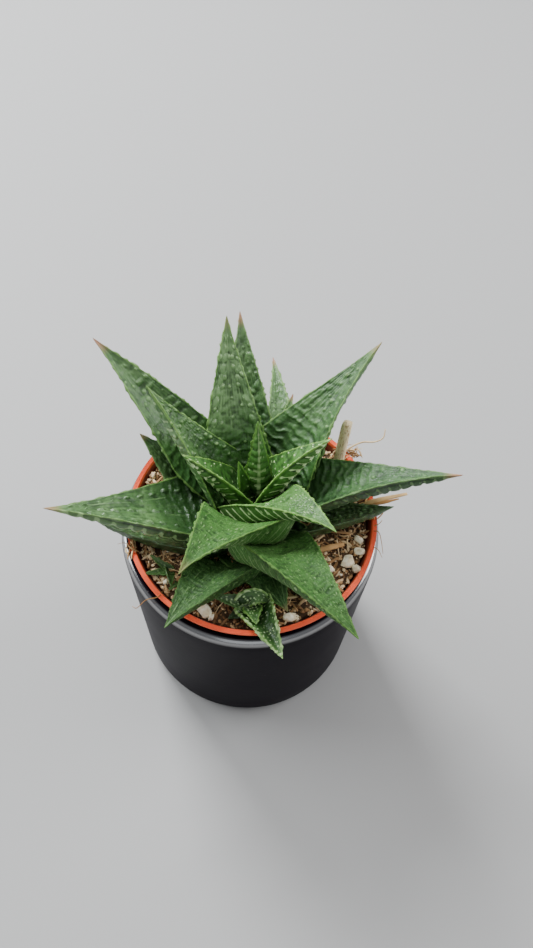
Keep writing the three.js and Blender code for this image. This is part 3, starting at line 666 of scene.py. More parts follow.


# Leaf skin: green that is lighter on young leaves, with painted shade at the foot, in low places and by the
# leaf's tone, wax with a painted sheen, pale bars and studs, fine lines along the leaf, a thin light margin
# and a dry tip
def leafMaterial(name, shine, rougher=0.0):
    shade = Shader(name)
    colours = SimpleNamespace(**leafColours)
    edge, raised, along = shade.parts("marks")
    young, white, tip = shade.parts("kind")
    deep, tone, bloom = shade.parts("depth")
    netShare = shade.attribute("net")
    skin = shade.surface()
    lines = shade.noise(shade.stretch(skin, (0.6, 9, 1)), 2.2, 3)
    blotch = shade.noise(skin, 1.4, 2)
    pores = shade.noise(skin, 26, 2)
    pebbles = shade.noise(skin, 10, 2)
    warp = {"Vector": skin, "Scale": 4.5, "Detail": 2.5, "Distortion": 1.6}
    off = shade.add("ShaderNodeTexNoise", {}, warp) - 0.5
    net = (off * off).step(0.0009, 0.0001) * netShare
    flecks = shade.noise(shade.stretch(skin, (2.2, 9, 1)), 3.5, 1).step(0.60, 0.68)
    old = shade.mix(blotch, colours.oldDark, colours.oldLight)
    fresh = shade.mix(blotch, colours.youngDark, colours.youngLight)
    green = shade.mix(young, old, fresh)
    green = shade.mix(lines.step(0.5, 0.72) * 0.4, green, colours.lines)
    # Painted shade over the foot of the leaf, where it sits among the others
    green = shade.mix((1 - along).step(0.62, 0.95) * 0.8, green, colours.deep)
    # Wax with a painted sheen, lighter from the middle to the tip of older leaves
    waxAndSheen = bloom * along.step(0.22, 0.62) * (0.3 + blotch.step(0.3, 0.7) * 0.5) * (1 - young * 0.6)
    green = shade.mix(waxAndSheen, green, shade.mix(bloom.step(1.6, 2.6), colours.wax, colours.thickWax))
    # Painted shade in low places, grooves round studs, channels and shaded feet
    green = shade.mix(deep.step(0.1, 0.8) * 0.72, green, colours.deep)
    # Painted shade by the leaf's tone, towards the shadow green
    green = shade.mix(1 - tone, green, colours.shadow)
    green = shade.mix((net * 0.3).largest(flecks * netShare * 0.6), green, colours.net)
    pale = shade.mix(young, colours.oldPale, colours.youngPale)
    green = shade.mix(raised.step(0.12, 0.5) * (white * 0.9 + 0.05), green, pale)
    # The light margin, dimmed by the same painted shade
    rim = edge.step(0.12, 0.02) * tone * tone * (0.35 + pores.step(0.3, 0.7) * 0.5)
    green = shade.mix(rim, green, shade.mix(young, colours.oldRim, colours.youngRim))
    green = shade.mix(along.step(0.90, 0.985) * tip, green, colours.dry)
    height = lines * 0.5 + pebbles * 0.6 + pores * 0.25 + net * 0.5
    return shade.finish({
        "Base Color": green,
        "Roughness": 0.44 + rougher - bloom * 0.13 + pores * 0.14,
        "Normal": shade.bump(height, 0.55, 0.4),
        "Subsurface Weight": 0.08,
        "Subsurface Radius": (0.4, 1.0, 0.2),
        "Subsurface Scale": 0.0012,
        "Specular IOR Level": 0.45 + shine,
    })


youngSkin = leafMaterial("young_leaf_skin", 0.0)
oldSkin = leafMaterial("old_leaf_skin", 0.05)
dullSkin = leafMaterial("dull_leaf_skin", -0.27, 0.06)
dullLeaves = ("leaf_front_left_upper", "leaf_front_right", "leaf_front_left_lower", "leaf_front_lower")

for order, (name, form) in enumerate(rosette.items()):
    young = order < youngCount
    pitches = (0.32, 0.38) if young else (0.45, form.get("column", 0.51))
    points, faces, marks = leafMesh(form, order + 1, *pitches)
    skin = dullSkin if name in dullLeaves else youngSkin if young else oldSkin
    addPiece("skin_of_" + name, points, faces, skin, [name], marks)
print("rosette grown")

# Two small offsets: leaves round a crown of their own
offsetMarks = dict(young=0.8, barPitch=1.6, barHeight=0.15, barWidth=0.3, plateHeight=0.1,
    lobeHeight=0.15, studPitch=1.4, studSize=0.45, studHeight=0.4, studShare=0.6, ridgeHeight=0.0,
    toothPitch=0.6, edge=0.4, dots=0.6, rowsOfStuds=6, dropPitch=1.4, dropLong=0.4, dropWide=0.5,
    dropPlace=0.8, dropHeight=0.3, keel=1.3, lines=())
# The third and fifth leaves, tucked under others, get painted shade through a low tone; the first has painted
# shade in its channel
frontOffset = [
    dict(azimuth=-61, turn=-2, length=23.2, rise=(24, 4), half=5.9, roll=(2, 14), foot=(-0.5, 0, 90.6),
        channel=0.72, keel=1.1, widest=0.05, clasp=0.95, edge=0.9, toothHeight=0.5, hollow=0.8,
        rimPale=0.4),
    dict(azimuth=55, turn=-90, length=12, rise=(55, -45), half=2.5, roll=(25, 25),
        foot=(-3.0, 2.6, 88.4), channel=0.1, keel=0.6, widest=0.4, clasp=0.9, taper=0.5, edge=1.0,
        rimPale=0.5, tone=0.9),
    dict(azimuth=172, turn=6, length=15.5, rise=(20, 6), half=3.4, roll=(10, 0), foot=(-2, 0.5, 88.2),
        keel=1.6, tone=0.45, white=0.4),
    dict(azimuth=-75, length=8.5, rise=(40, 5), half=3.0, foot=(0.6, -0.4, 89.6), keel=1.2, white=0.5),
    dict(azimuth=-150, turn=10, length=9, rise=(5, -5), half=3.0, roll=(10, 0), foot=(0, 0, 87.6),
        keel=1.6, tone=0.2, white=0.2),
]
leftOffset = [
    dict(azimuth=-162, turn=4, length=10.5, rise=(20, 10), half=1.7, roll=(25, 10), foot=(-1, 0, 87)),
    dict(azimuth=155, turn=-4, length=9.2, rise=(22, 16), half=1.3, roll=(-20, -10), foot=(-1, 0, 87.2)),
    dict(azimuth=-76, turn=-4, length=8, rise=(24, 14), half=1.7, roll=(-40, -30), foot=(-1, 0, 87.2)),
    dict(azimuth=-118, length=6, rise=(18, 10), half=1.0, roll=(20, 20), foot=(0.6, 3.9, 86.8)),
]
offsets = {
    "offset_front": dict(leaves=frontOffset, crown=(2.6, -31.6), white=0.8),
    "offset_left": dict(leaves=leftOffset, crown=(-25.0, -21.4), white=0.3),
}


# The leaves of an offset as one piece; a less white offset also gets more painted shade through its tone
def offsetPiece(node, leaves, crown, white):
    shared = dict(white=white, tone=0.3 + 0.7 * white, crown=crown)
    allPoints, allFaces, allMarks, start = [], [[], []], [], 0
    for order, form in enumerate(leaves):
        form = dict(form, like=(offsetMarks, shared))
        points, faces, marks = leafMesh(form, 40 + order, 0.3, 0.34)
        for group, found in zip(allFaces, faces):
            group.append(found + start)
        allPoints.append(points)
        allMarks.append(marks)
        start += len(points)
    marks = {key: np.concatenate([one[key] for one in allMarks]) for key in allMarks[0]}
    faces = [np.concatenate(group) for group in allFaces]
    addPiece("skin_of_" + node, np.concatenate(allPoints), faces, oldSkin, [node], marks)


for node, offset in offsets.items():
    offsetPiece(node, **offset)
print("offsets grown")

# The soil: the dish round the plant, the rise at the pot's wall, relief as pairs of height and
# width, and a hollow at the front. What is strewn on it is a count, how far out and how high.
soilTop = 86.6
linerShift = 0.45
soilForm = dict(dish=3.2, dishReach=17, wall=0.8, wallStart=34, wallReach=5, bottom=7.6, bottomRadius=30.6,
                radius=39.1, rings=62, sides=160, relief=((0.45, 6.5), (0.45, 2.3), (0.3, 1.0)),
                hollow=(-3, -35), hollowDepth=1.4, hollowSpread=50)
strewn = {
    "chips": (1550, 38.2, 0.3), "crumbs": (3000, 39.2, 0.15), "splinters": (170, 35.5, 0.7),
    "fibres": (640, 34.5, 0.35), "granules": (24, 36.5, 0.4),
}


# Height of the soil: the CAD part's level with its dish and a hollow at the front, plus relief
def soilLevel(x, y):
    reach = ramp(np.hypot(x - crown[0], y - crown[1]) / soilForm["dishReach"], 0.55, 0.6)
    dish = soilForm["dish"] * (1 - reach * reach * (3 - 2 * reach))
    wall = ramp(np.hypot(x - linerShift, y), soilForm["wallStart"], soilForm["wallReach"])
    away = (x - soilForm["hollow"][0]) ** 2 + (y - soilForm["hollow"][1]) ** 2
    wall = wall - soilForm["hollowDepth"] * np.exp(-away / soilForm["hollowSpread"])
    level = soilTop - dish + soilForm["wall"] * wall
    for order, (height, width) in enumerate(soilForm["relief"]):
        level = level + height * lattice(x, y, width, 3 + order)
    return level


# Crumbly skin in three colours from dark to light, by the tint of each crumb
def soilMaterial(name, dark, middle, light):
    shade = Shader(name)
    place = shade.place()
    tint = shade.attribute("tint")
    grain = shade.noise(place, 900, 3)
    streak = shade.noise(place, 260, 2)
    colour = shade.mix(tint, dark, middle)
    colour = shade.mix(tint.step(0.55, 1.0), colour, light)
    colour = shade.mix(streak.step(0.35, 0.75) * 0.35, colour, dark)
    return shade.finish({
        "Base Color": colour,
        "Roughness": 0.82 + grain * 0.12,
        "Normal": shade.bump(grain, 0.5, 0.3),
        "Specular IOR Level": 0.25,
    })


peat = soilMaterial("peat", (0.14, 0.066, 0.027, 1), (0.82, 0.50, 0.24, 1), (1.0, 0.80, 0.50, 1))
darkPeat = soilMaterial("dark_peat", (0.05, 0.028, 0.015, 1), (0.20, 0.115, 0.06, 1), (0.34, 0.22, 0.12, 1))


# Colour of the bed: dark, with patches that are a little lighter
def bedTint(x, y):
    return 0.25 + 0.35 * lattice(x, y, 1.7, 8)


bed = [(0, soilForm["bottom"]), (soilForm["bottomRadius"], soilForm["bottom"]), (soilForm["radius"], None)]
bed += [(radius, None) for radius in np.linspace(soilForm["radius"] - 0.2, 0, soilForm["rings"])]
turnedPiece("soil_bed", bed, soilForm["sides"], (linerShift, 0), darkPeat, ["soil"],
            soilLevel, bedTint)


# A rough ball: a cube's faces split by steps and pushed out to a sphere
def ballShape(steps):
    line = np.linspace(-1, 1, steps + 1)
    a, b = np.meshgrid(line, line, indexing="ij")
    each = (steps + 1) ** 2
    faces, points = [], []
    for axis, sign in [(axis, sign) for axis in range(3) for sign in (-1, 1)]:
        grid = np.zeros(a.shape + (3,))
        grid[..., axis] = sign
        grid[..., (axis + 1) % 3] = a
        grid[..., (axis + 2) % 3] = b
        number = np.arange(each).reshape(steps + 1, steps + 1) + len(points) * each
        corners = [number[:-1, :-1], number[1:, :-1], number[1:, 1:], number[:-1, 1:]]
        quad = np.stack(corners, -1).reshape(-1, 4)
        faces.append(quad if sign > 0 else quad[:, ::-1])
        points.append(grid.reshape(-1, 3))
    unique, index = np.unique(np.round(np.concatenate(points), 5), axis=0, return_inverse=True)
    unique = unique / np.linalg.norm(unique, axis=1, keepdims=True)
    return unique, index.reshape(-1)[np.concatenate(faces)]


# A chunk: the ball cut by flat planes at random distances
def chunkShape(steps, seed, planes=9):
    points, faces = ballShape(steps)
    draw = np.random.default_rng(seed)
    normals = draw.normal(size=(planes, 3))
    normals /= np.linalg.norm(normals, axis=1, keepdims=True)
    reach = (0.55 + 0.3 * draw.random(planes)) / np.maximum(points @ normals.T, 0.05)
    return points * np.minimum(1, reach.min(1))[:, None] * 1.15, faces


# Turns n shapes at once by yaw, pitch and roll, in radians
def turnMany(points, yaw, pitch, roll):
    cy, cp, cr = np.cos(yaw), np.cos(pitch), np.cos(roll)
    sy, sp, sr = np.sin(yaw), np.sin(pitch), np.sin(roll)
    rows = np.stack([
        cy * cp, cy * sp * sr - sy * cr, cy * sp * cr + sy * sr,
        sy * cp, sy * sp * sr + cy * cr, sy * sp * cr - cy * sr,
        -sp, cp * sr, cp * cr,
    ], -1).reshape(-1, 3, 3)
    return np.einsum("nij,nkj->nki", rows, points)


# Copies of one shape, each stretched, roughened, turned and moved, as one piece
def manyPieces(name, shape, sizes, places, angles, rough, tints, material, node, seed):
    points, faces = shape
    count = len(sizes)
    noise = scatter(np.arange(len(points))[None] + 1.0, np.arange(count)[:, None] + 1.0, seed)
    grown = points[None] * (1 + rough * (noise[..., None] - 0.5)) * (sizes[:, None] / 2)
    moved = turnMany(grown, *angles.T) + places[:, None]
    everyFace = faces[None] + (np.arange(count) * len(points))[:, None, None]
    marks = {"tint": np.repeat(tints, len(points))}
    return addPiece(name, moved, [everyFace.reshape(-1, faces.shape[1])], material, [node], marks)


# Random places on the soil for one thing that is strewn: their count, then x, y and height
def onSoil(draw, kind):
    count, reach, lift = strewn[kind]
    radius = reach * np.sqrt(draw.random(count))
    angle = draw.random(count) * fullTurn
    x, y = linerShift + radius * np.cos(angle), radius * np.sin(angle)
    return count, np.stack([x, y, soilLevel(x, y) + lift], -1)


# Tint added to the soil's crumbs: a small lift everywhere, painted light at the left and painted shade at the
# front
def paintedSoilLightAndShade(places):
    left = unit((-12 - places[:, 0]) / 15) * np.clip((5 - places[:, 1]) / 10, -1, 1)
    front = np.exp(-((places[:, 0] + 2) ** 2 + (places[:, 1] + 34) ** 2) / 120)
    return 0.12 + 0.12 * left - 0.4 * front


# Long flat chips, a fifth of them moved out to a ring along the pot's wall
def strewChips(draw):
    count, chips = onSoil(draw, "chips")
    long, wide, high = draw.random(count), draw.random(count), draw.random(count)
    sizes = [1.6 + 3.0 * long ** 2, 0.6 + 0.8 * wide, 0.4 + 0.5 * high]
    turns = [draw.random(count) * 6.3, draw.normal(0, 0.3, count), draw.normal(0, 0.4, count)]
    moved = draw.random(count) < 0.2
    middle = np.array([linerShift, 0])
    outward = chips[:, :2] - middle
    outward = outward / np.linalg.norm(outward, axis=1, keepdims=True)
    ring = middle + (39.0 - 4 * draw.random((count, 1)) ** 2) * outward
    chips[moved, :2] = ring[moved]
    chips[:, 2] = soilLevel(chips[:, 0], chips[:, 1]) + strewn["chips"][2]
    # Each chip's tint carries painted light at the left and painted shade at the front
    tints = draw.random(count) + paintedSoilLightAndShade(chips)
    manyPieces("soil_chips", chunkShape(2, 3), np.stack(sizes, -1), chips, np.stack(turns, -1), 0.35, tints,
               peat, "soil", 2)


# Small crumbs, turned every way, each uneven in its three sizes
def strewCrumbs(draw):
    count, crumbs = onSoil(draw, "crumbs")
    sizes = (0.45 + 0.8 * draw.random((count, 1)) ** 2) * (0.7 + 0.6 * draw.random((count, 3)))
    turns = draw.random((count, 3)) * 6.3
    # Each crumb's tint carries painted light at the left and painted shade at the front
    tints = draw.random(count) + paintedSoilLightAndShade(crumbs)
    manyPieces("soil_crumbs", ballShape(1), sizes, crumbs, turns, 0.5, tints, peat, "soil", 4)


# Thin bent strands, wider than high: each lies along its yaw, bowed sideways and upwards
def strandMany(name, starts, yaw, length, bow, arch, radius, tints, material, node):
    count, sides, steps, flat = len(starts), 4, 5, 0.6
    t = np.linspace(0, 1, steps + 1)
    bent = 1 - (2 * t[None] - 1) ** 2
    along = (t[None] - 0.5) * length[:, None]
    sideways, height = bow[:, None] * bent, arch[:, None] * bent
    cy, sy = np.cos(yaw)[:, None], np.sin(yaw)[:, None]
    pathX = starts[:, :1] + cy * along - sy * sideways
    pathY = starts[:, 1:2] + sy * along + cy * sideways
    pathZ = starts[:, 2:] + height
    angles = np.linspace(0, fullTurn, sides, endpoint=False)
    taper = radius[:, None] * (0.35 + 0.65 * np.sin(math.pi * (0.12 + 0.76 * t)))[None]
    across = taper[..., None] * np.cos(angles)
    above = taper[..., None] * np.sin(angles) * flat
    points = np.stack([
        pathX[..., None] - sy[..., None] * across,
        pathY[..., None] + cy[..., None] * across,
        pathZ[..., None] + above,
    ], -1)
    quads, fans = tubeFaces(steps + 1, sides)
    offset = (np.arange(count) * (steps + 1) * sides)[:, None, None]
    marks = {"tint": np.repeat(tints, (steps + 1) * sides)}
    sets = [(quads[None] + offset).reshape(-1, 4), (fans[None] + offset).reshape(-1, 3)]
    return addPiece(name, points, sets, material, [node], marks)


fibreSkin = soilMaterial("dry_fibre", (0.22, 0.11, 0.045, 1), (0.58, 0.35, 0.16, 1), (0.90, 0.68, 0.38, 1))


# Flat splinters, nearly straight
def strewSplinters(draw):
    count, starts = onSoil(draw, "splinters")
    strandMany("soil_splinters", starts, draw.random(count) * 6.3, 2.5 + 4.5 * draw.random(count),
               draw.normal(0, 0.2, count), draw.normal(0.2, 0.25, count), 0.3 + 0.35 * draw.random(count),
               0.3 + 0.7 * draw.random(count), fibreSkin, "soil")


# Thinner fibres, more bowed, most of them short
def strewFibres(draw):
    count, starts = onSoil(draw, "fibres")
    lengths = 2.5 + 7 * draw.random(count) ** 2
    strandMany("soil_fibres", starts, draw.random(count) * 6.3, lengths, draw.normal(0, 0.7, count),
               0.2 + 0.9 * draw.random(count), 0.10 + 0.22 * draw.random(count), draw.random(count),
               fibreSkin, "soil")


soilDraw = np.random.default_rng(11)
strewChips(soilDraw)
strewCrumbs(soilDraw)
strewSplinters(soilDraw)
strewFibres(soilDraw)


# Pitted, grainy pale stone
def perliteMaterial():
    shade = Shader("perlite_skin")
    place = shade.place()
    pits = shade.cells(place, 1500)
    grain = shade.noise(place, 700, 4)
    return shade.finish({
        "Base Color": shade.mix(grain.step(0.3, 0.6), (0.82, 0.68, 0.42, 1), (1.0, 0.94, 0.73, 1)),
        "Roughness": 0.85 + grain * 0.1,
        "Normal": shade.bump(pits * 0.6 + grain, 0.5, 0.35),
    })


# Where each granule lies, its three sizes, its turn and tilt, and how many planes cut it
granules = {
    "perlite_right_large": ((33.1, -13.8), (5.0, 4.2, 3.2), (20, 0), 6),
    "perlite_right_back": ((37.0, -5.4), (2.9, 3.2, 2.4), (0, 0), 6),
    "perlite_right_middle": ((37.1, -9.9), (3.0, 3.4, 2.6), (60, 0), 6),
    "perlite_front_shell": ((15.6, -34.6), (5.6, 3.0, 1.8), (15, 12), 6),
    "perlite_front_chip": ((-12.6, -34.6), (4.6, 5.2, 2.2), (40, -30), 5),
}
# Smaller ones: place and size
smallGranules = np.array([
    (27.3, -17.6, 2.8), (36.0, -16.7, 3.0), (-10.0, -36.4, 2.0), (-26.0, -25.6, 1.6), (-26.6, -14.6, 1.4),
    (24.6, -13, 1.0), (31, -18.5, 1.0),
])
perliteSkin = perliteMaterial()


# Each granule is a chunk with its middle a little above the soil
def layGranules():
    for order, (name, (spot, size, turn, planes)) in enumerate(granules.items()):
        height = float(soilLevel(np.array(spot[0]), np.array(spot[1]))) + size[2] * 0.3
        manyPieces("skin_of_" + name, chunkShape(9, 20 + order, planes), np.array([size]),
                   np.array([[*spot, height]]), np.radians([[*turn, 0]]), 0.05, np.array([0.5]),
                   perliteSkin, name, order)


# The small granules, sunk a little, and dust of the same stone
def strewGranules(draw):
    count, dust = onSoil(draw, "granules")
    dustSizes = 0.5 + 0.9 * draw.random(count) ** 2
    x, y, size = smallGranules.T
    spots = np.concatenate([np.stack([x, y, soilLevel(x, y) + 0.3 * size], -1), dust])
    sizes = np.concatenate([size, dustSizes])[:, None] * (0.8 + 0.4 * draw.random((len(spots), 3)))
    turns = draw.random((len(spots), 3)) * 6.3
    manyPieces("small_granules", chunkShape(4, 7), sizes, spots, turns, 0.25, draw.random(len(spots)),
               perliteSkin, "perlite_right_large", 9)


layGranules()
strewGranules(np.random.default_rng(5))
print("soil and granules strewn")


# A tube along a smooth curve through a path's points, with a radius at each: an oval when flat
# is under 1, uneven by rough, and with its end cut on a slant
def tubePiece(name, path, radii, material, node, sides, steps, flat=1.0, rough=0.0, tint=0.5, slant=0.0):
    path, radii = np.asarray(path, float), np.asarray(radii, float)
    knots = np.linspace(0, 1, len(path))
    t = np.linspace(0, 1, steps)
    before = np.concatenate([[2 * path[0] - path[1]], path, [2 * path[-1] - path[-2]]])
    spot = np.clip(t * (len(path) - 1), 0, len(path) - 1 - 1e-9)
    number = np.floor(spot).astype(int)
    f = (spot - number)[:, None]
    a, b, c, d = [before[number + i] for i in range(4)]
    bent = (2 * a - 5 * b + 4 * c - d) * f ** 2
    middle = 0.5 * (2 * b + (c - a) * f + bent + (3 * b - a - 3 * c + d) * f ** 3)
    along = np.gradient(middle, axis=0)
    along /= np.linalg.norm(along, axis=1, keepdims=True)
    across = np.cross(along, [0.12, 0.1, 1.0])
    across /= np.linalg.norm(across, axis=1, keepdims=True)
    above = np.cross(across, along)
    angles = np.linspace(0, fullTurn, sides, endpoint=False)
    size = np.interp(t, knots, radii)[:, None]
    size = size * (1 + rough * lattice(t[:, None] * 9 + 0 * angles, angles[None] * 2 + 0 * size, 1.0, 6))
    sideways, upwards = (size * np.cos(angles))[..., None], (size * np.sin(angles) * flat)[..., None]
    points = middle[:, None] + sideways * across[:, None] + upwards * above[:, None]
    points[-1] += along[-1] * (slant * (1 + np.cos(angles)) / 2)[:, None]
    marks = {"tint": np.full(steps * sides, tint)}
    return addPiece(name, points, tubeFaces(steps, sides), material, [node], marks)


# Streaks along the stalk and a few dark specks
def stalkMaterial():
    shade = Shader("dry_stalk_skin")
    streaks = shade.noise(shade.stretch(shade.place(), (2600, 2600, 260)), 1.0, 4)
    specks = shade.cells(shade.stretch(shade.place(), (1, 1, 0.35)), 900)
    colour = shade.mix(streaks.step(0.3, 0.55), (0.68, 0.44, 0.20, 1), (1.0, 0.84, 0.52, 1))
    colour = shade.mix(specks.step(0.22, 0.12) * 0.5, colour, (0.22, 0.12, 0.05, 1))
    return shade.finish({
        "Base Color": colour,
        "Roughness": 0.75 + streaks * 0.1,
        "Normal": shade.bump(streaks, 0.6, 0.3),
    })


stalkSkin = stalkMaterial()
splinterSkin = soilMaterial(
    "dry_splinter", (0.30, 0.13, 0.04, 1), (0.62, 0.34, 0.13, 1), (0.85, 0.58, 0.28, 1))
tubes = {
    "stub_of_flower_stalk": dict(
        path=[(28, 18.5, 80), (28.6, 20.4, 90), (29.4, 23.6, 100), (30, 26.2, 108), (30.1, 26.6, 109)],
        radii=[1.95, 1.9, 1.85, 1.75, 1.6], material=stalkSkin, node="flower_stalk", sides=24, steps=60,
        rough=0.08, slant=1.0),
    "dry_straw": dict(
        path=[(35.4, 6.6, 88.9), (39.5, 7.2, 90.9), (43.5, 8.1, 92.1), (52.8, 10.5, 93.4)],
        radii=[0.6, 0.95, 0.95, 0.55], material=splinterSkin, node="straw", sides=12, steps=40,
        flat=0.42, rough=0.12, tint=0.85),
    "dry_straw_split": dict(
        path=[(38.5, 6.3, 90.6), (44.5, 7.0, 92.2), (50.0, 8.5, 93.0)], radii=[0.5, 0.7, 0.25],
        material=splinterSkin, node="straw", sides=10, steps=30, flat=0.5, rough=0.12, tint=0.55),
    "heart_stem": dict(
        path=[(1, 2.5, 62), (1, 2.5, 84), (1, 2.5, 91.9)], radii=[4.1, 4.1, 2.4], material=stalkSkin,
        node="stem", sides=24, steps=24),
    "strip_of_bark": dict(
        path=[(23.5, -10.6, 88.0), (27.5, -9.4, 88.5), (31.8, -7.9, 88.1)], radii=[0.9, 1.1, 0.7],
        material=splinterSkin, node="straw", sides=10, steps=30, flat=0.4, rough=0.15, tint=0.7),
}
for name, tube in tubes.items():
    tubePiece(name, **tube)

# Thin roots over the nursery pot's rim: a path and the radius at its start
roots = [
    ([(31, 27.5, 90), (34.5, 29.5, 92.2), (38, 31.3, 92.4), (42, 31.2, 93.2), (44.8, 32.2, 94.6),
      (45.3, 34.6, 96.6)], 0.42),
    ([(41.8, -1.5, 90.9), (43.4, -0.8, 91.6), (44.3, 0.4, 91.8)], 0.2),
    ([(41.6, -3.4, 90.9), (43.2, -4.0, 91.2), (44.2, -7.2, 90.2), (44.9, -10.5, 88.5)], 0.2),
    ([(41.4, -9.4, 90.9), (43.0, -10.6, 91.0), (44.4, -12.4, 89.4)], 0.18),
    ([(-26.5, -29.5, 88.4), (-27.3, -32.4, 90.9), (-31.0, -33.3, 89.9), (-34.0, -34.9, 86.6),
      (-35.9, -33.7, 84.5)], 0.22),
    ([(-38.2, -15.4, 88.8), (-40.6, -14.6, 91.0), (-42.8, -15.2, 91.2)], 0.16),
]
for order, (path, radius) in enumerate(roots):
    taper = np.linspace(1, 0.45, len(path)) * radius
    skin, tint = (fibreSkin, 0.9) if order == 0 else (splinterSkin, 0.45)
    tubePiece("root_hair_%d" % order, path, taper, skin, "straw", 6, 36, tint=tint)

# Tangles of fibre over the rim: middle, spread in x and y, strands, their heading and its spread
tangles = [
    ((-38.3, -14.8, 90.3), (0.8, 1.8), 20, 1.97, 0.4, fibreSkin),
    ((39.6, 4.2, 90.4), (1.5, 1.5), 30, 1.2, 0.8, splinterSkin),
    ((33.4, 28.2, 89.8), (2.4, 1.2), 34, 0.4, 0.8, fibreSkin),
]
for order, (middle, reach, count, heading, turned, skin) in enumerate(tangles):
    draw = np.random.default_rng(60 + order)
    starts = np.array(middle) + draw.normal(size=(count, 3)) * [*reach, 0.25]
    strandMany("fibre_tangle_%d" % order, starts, draw.normal(heading, turned, count),
               2 + 3.0 * draw.random(count), draw.normal(0, 0.4, count), draw.normal(0.2, 0.3, count),
               0.14 + 0.22 * draw.random(count), 0.3 + 0.7 * draw.random(count), skin, "straw")
print("stalk, straw and roots laid")


# Height of a place above the floor, as a socket
def heightOf(shade, place):
    return shade.add("ShaderNodeSeparateXYZ", {}, {0: place}, 2)


# Near-black glaze with a few specks of dust, and a clear coat with bright highlights on the lip
def glazeMaterial():
    shade = Shader("black_glaze_skin")
    place = shade.place()
    cloud = shade.noise(place, 38, 3)
    dimples = shade.noise(place, 420, 2)
    dust = shade.cells(place, 260).step(0.07, 0.02) * shade.noise(place, 90, 1).step(0.60, 0.70)
    colour = shade.mix(cloud, (0.0026, 0.0014, 0.0036, 1), (0.006, 0.0035, 0.0085, 1))
    colour = shade.mix(dust * 0.4, colour, (0.25, 0.24, 0.24, 1))
    level = shade.stretch(place, (1, 1, 0))
    radius = shade.add("ShaderNodeVectorMath", {"operation": "LENGTH"}, {0: level}, 1)
    lip = heightOf(shade, place).step(82.6 * millimetre, 84.9 * millimetre)
    lip = lip * radius.step(42.5 * millimetre, 43.2 * millimetre)
    return shade.finish({
        "Base Color": colour,
        "Roughness": 0.34 + cloud * 0.10 + dust * 0.3,
        "Normal": shade.bump(dimples, 0.12, 0.2),
        "Specular IOR Level": 0.02,
        "Coat Weight": lip,
        "Coat Roughness": 0.2,
        "Coat IOR": 3.9,
    })


# Part of an ellipse as profile points, from one angle to another
def arc(radius, height, wide, high, start, end, steps):
    angles = np.radians(np.linspace(start, end, steps + 1))
    return [(radius + wide * math.cos(a), height + high * math.sin(a)) for a in angles]


# The glazed pot's profile: round foot, wall that flares out a little, lip and inside
glazed = dict(foot=38.4, footRound=5, wall=43.4, flare=1.1, wallHeight=77.5, wallSteps=12, lip=42.0,
              lipHeight=82.5, inside=[(41.4, 80), (41.2, 44), (40.5, 8), (38.5, 6), (0, 6)])
potSides = 192


# The wall is a straight line in equal steps, between quarter rounds at the foot and the lip
def glazedProfile():
    pot = SimpleNamespace(**glazed)
    shares = [(step, pot.wallSteps) for step in range(1, pot.wallSteps + 1)]
    wall = [(pot.wall + pot.flare * step / whole, pot.footRound + pot.wallHeight * step / whole)
            for step, whole in shares]
    foot = arc(pot.foot, pot.footRound, pot.footRound, pot.footRound, -90, 0, 14)
    outerLip = arc(pot.lip, pot.lipHeight, 2.5, 3.5, 8, 90, 24)
    innerLip = arc(pot.lip, pot.lipHeight + 3, 0.5, 0.5, 90, 180, 6)
    return [(0, 0)] + foot + wall + outerLip + innerLip + pot.inside


turnedPiece("glazed_pot", glazedProfile(), potSides, (0, 0), glazeMaterial(), ["ceramic_pot"])


# Mottled plastic, a little grimy, with painted shade below the rim, in the gap between the pots
def plasticMaterial():
    shade = Shader("terracotta_plastic_skin")
    place = shade.place()
    mottle = shade.noise(place, 120, 3)
    grime = shade.noise(place, 55, 3)
    low = heightOf(shade, place).step(89.3 * millimetre, 88.7 * millimetre)
    colour = shade.mix(mottle, (0.90, 0.108, 0.035, 1), (1.0, 0.165, 0.056, 1))
    colour = shade.mix(grime.step(0.55, 0.75) * 0.3, colour, (0.35, 0.12, 0.06, 1))
    # Painted shade below the rim: on the neck in the gap between the pots and on the walls beneath
    colour = shade.mix(low * 0.9, colour, (0.09, 0.016, 0.008, 1))
    return shade.finish({
        "Base Color": colour,
        "Roughness": 0.48 + mottle * 0.12,
        "Normal": shade.bump(mottle, 0.1, 0.1),
    })


# The nursery pot's profile: outside, a faintly grooved rim, inside; and its drainage holes
lipTop = [(42.35 - 1.35 * step / 24, 90.05 + 0.10 * math.cos(step * 1.57)) for step in range(25)]
linerProfile = [(0, 6.35), (32, 6.35), (40.9, 88.9), (42.1, 89.1), (42.4, 89.4), (42.4, 89.95)] + lipTop
linerProfile += [(40.85, 89.9), (40.7, 89.3), (40.05, 88.2), (31.1, 7.25), (0, 7.25)]
holes = dict(count=5, ring=20, radius=3, low=4, high=9, sides=32)


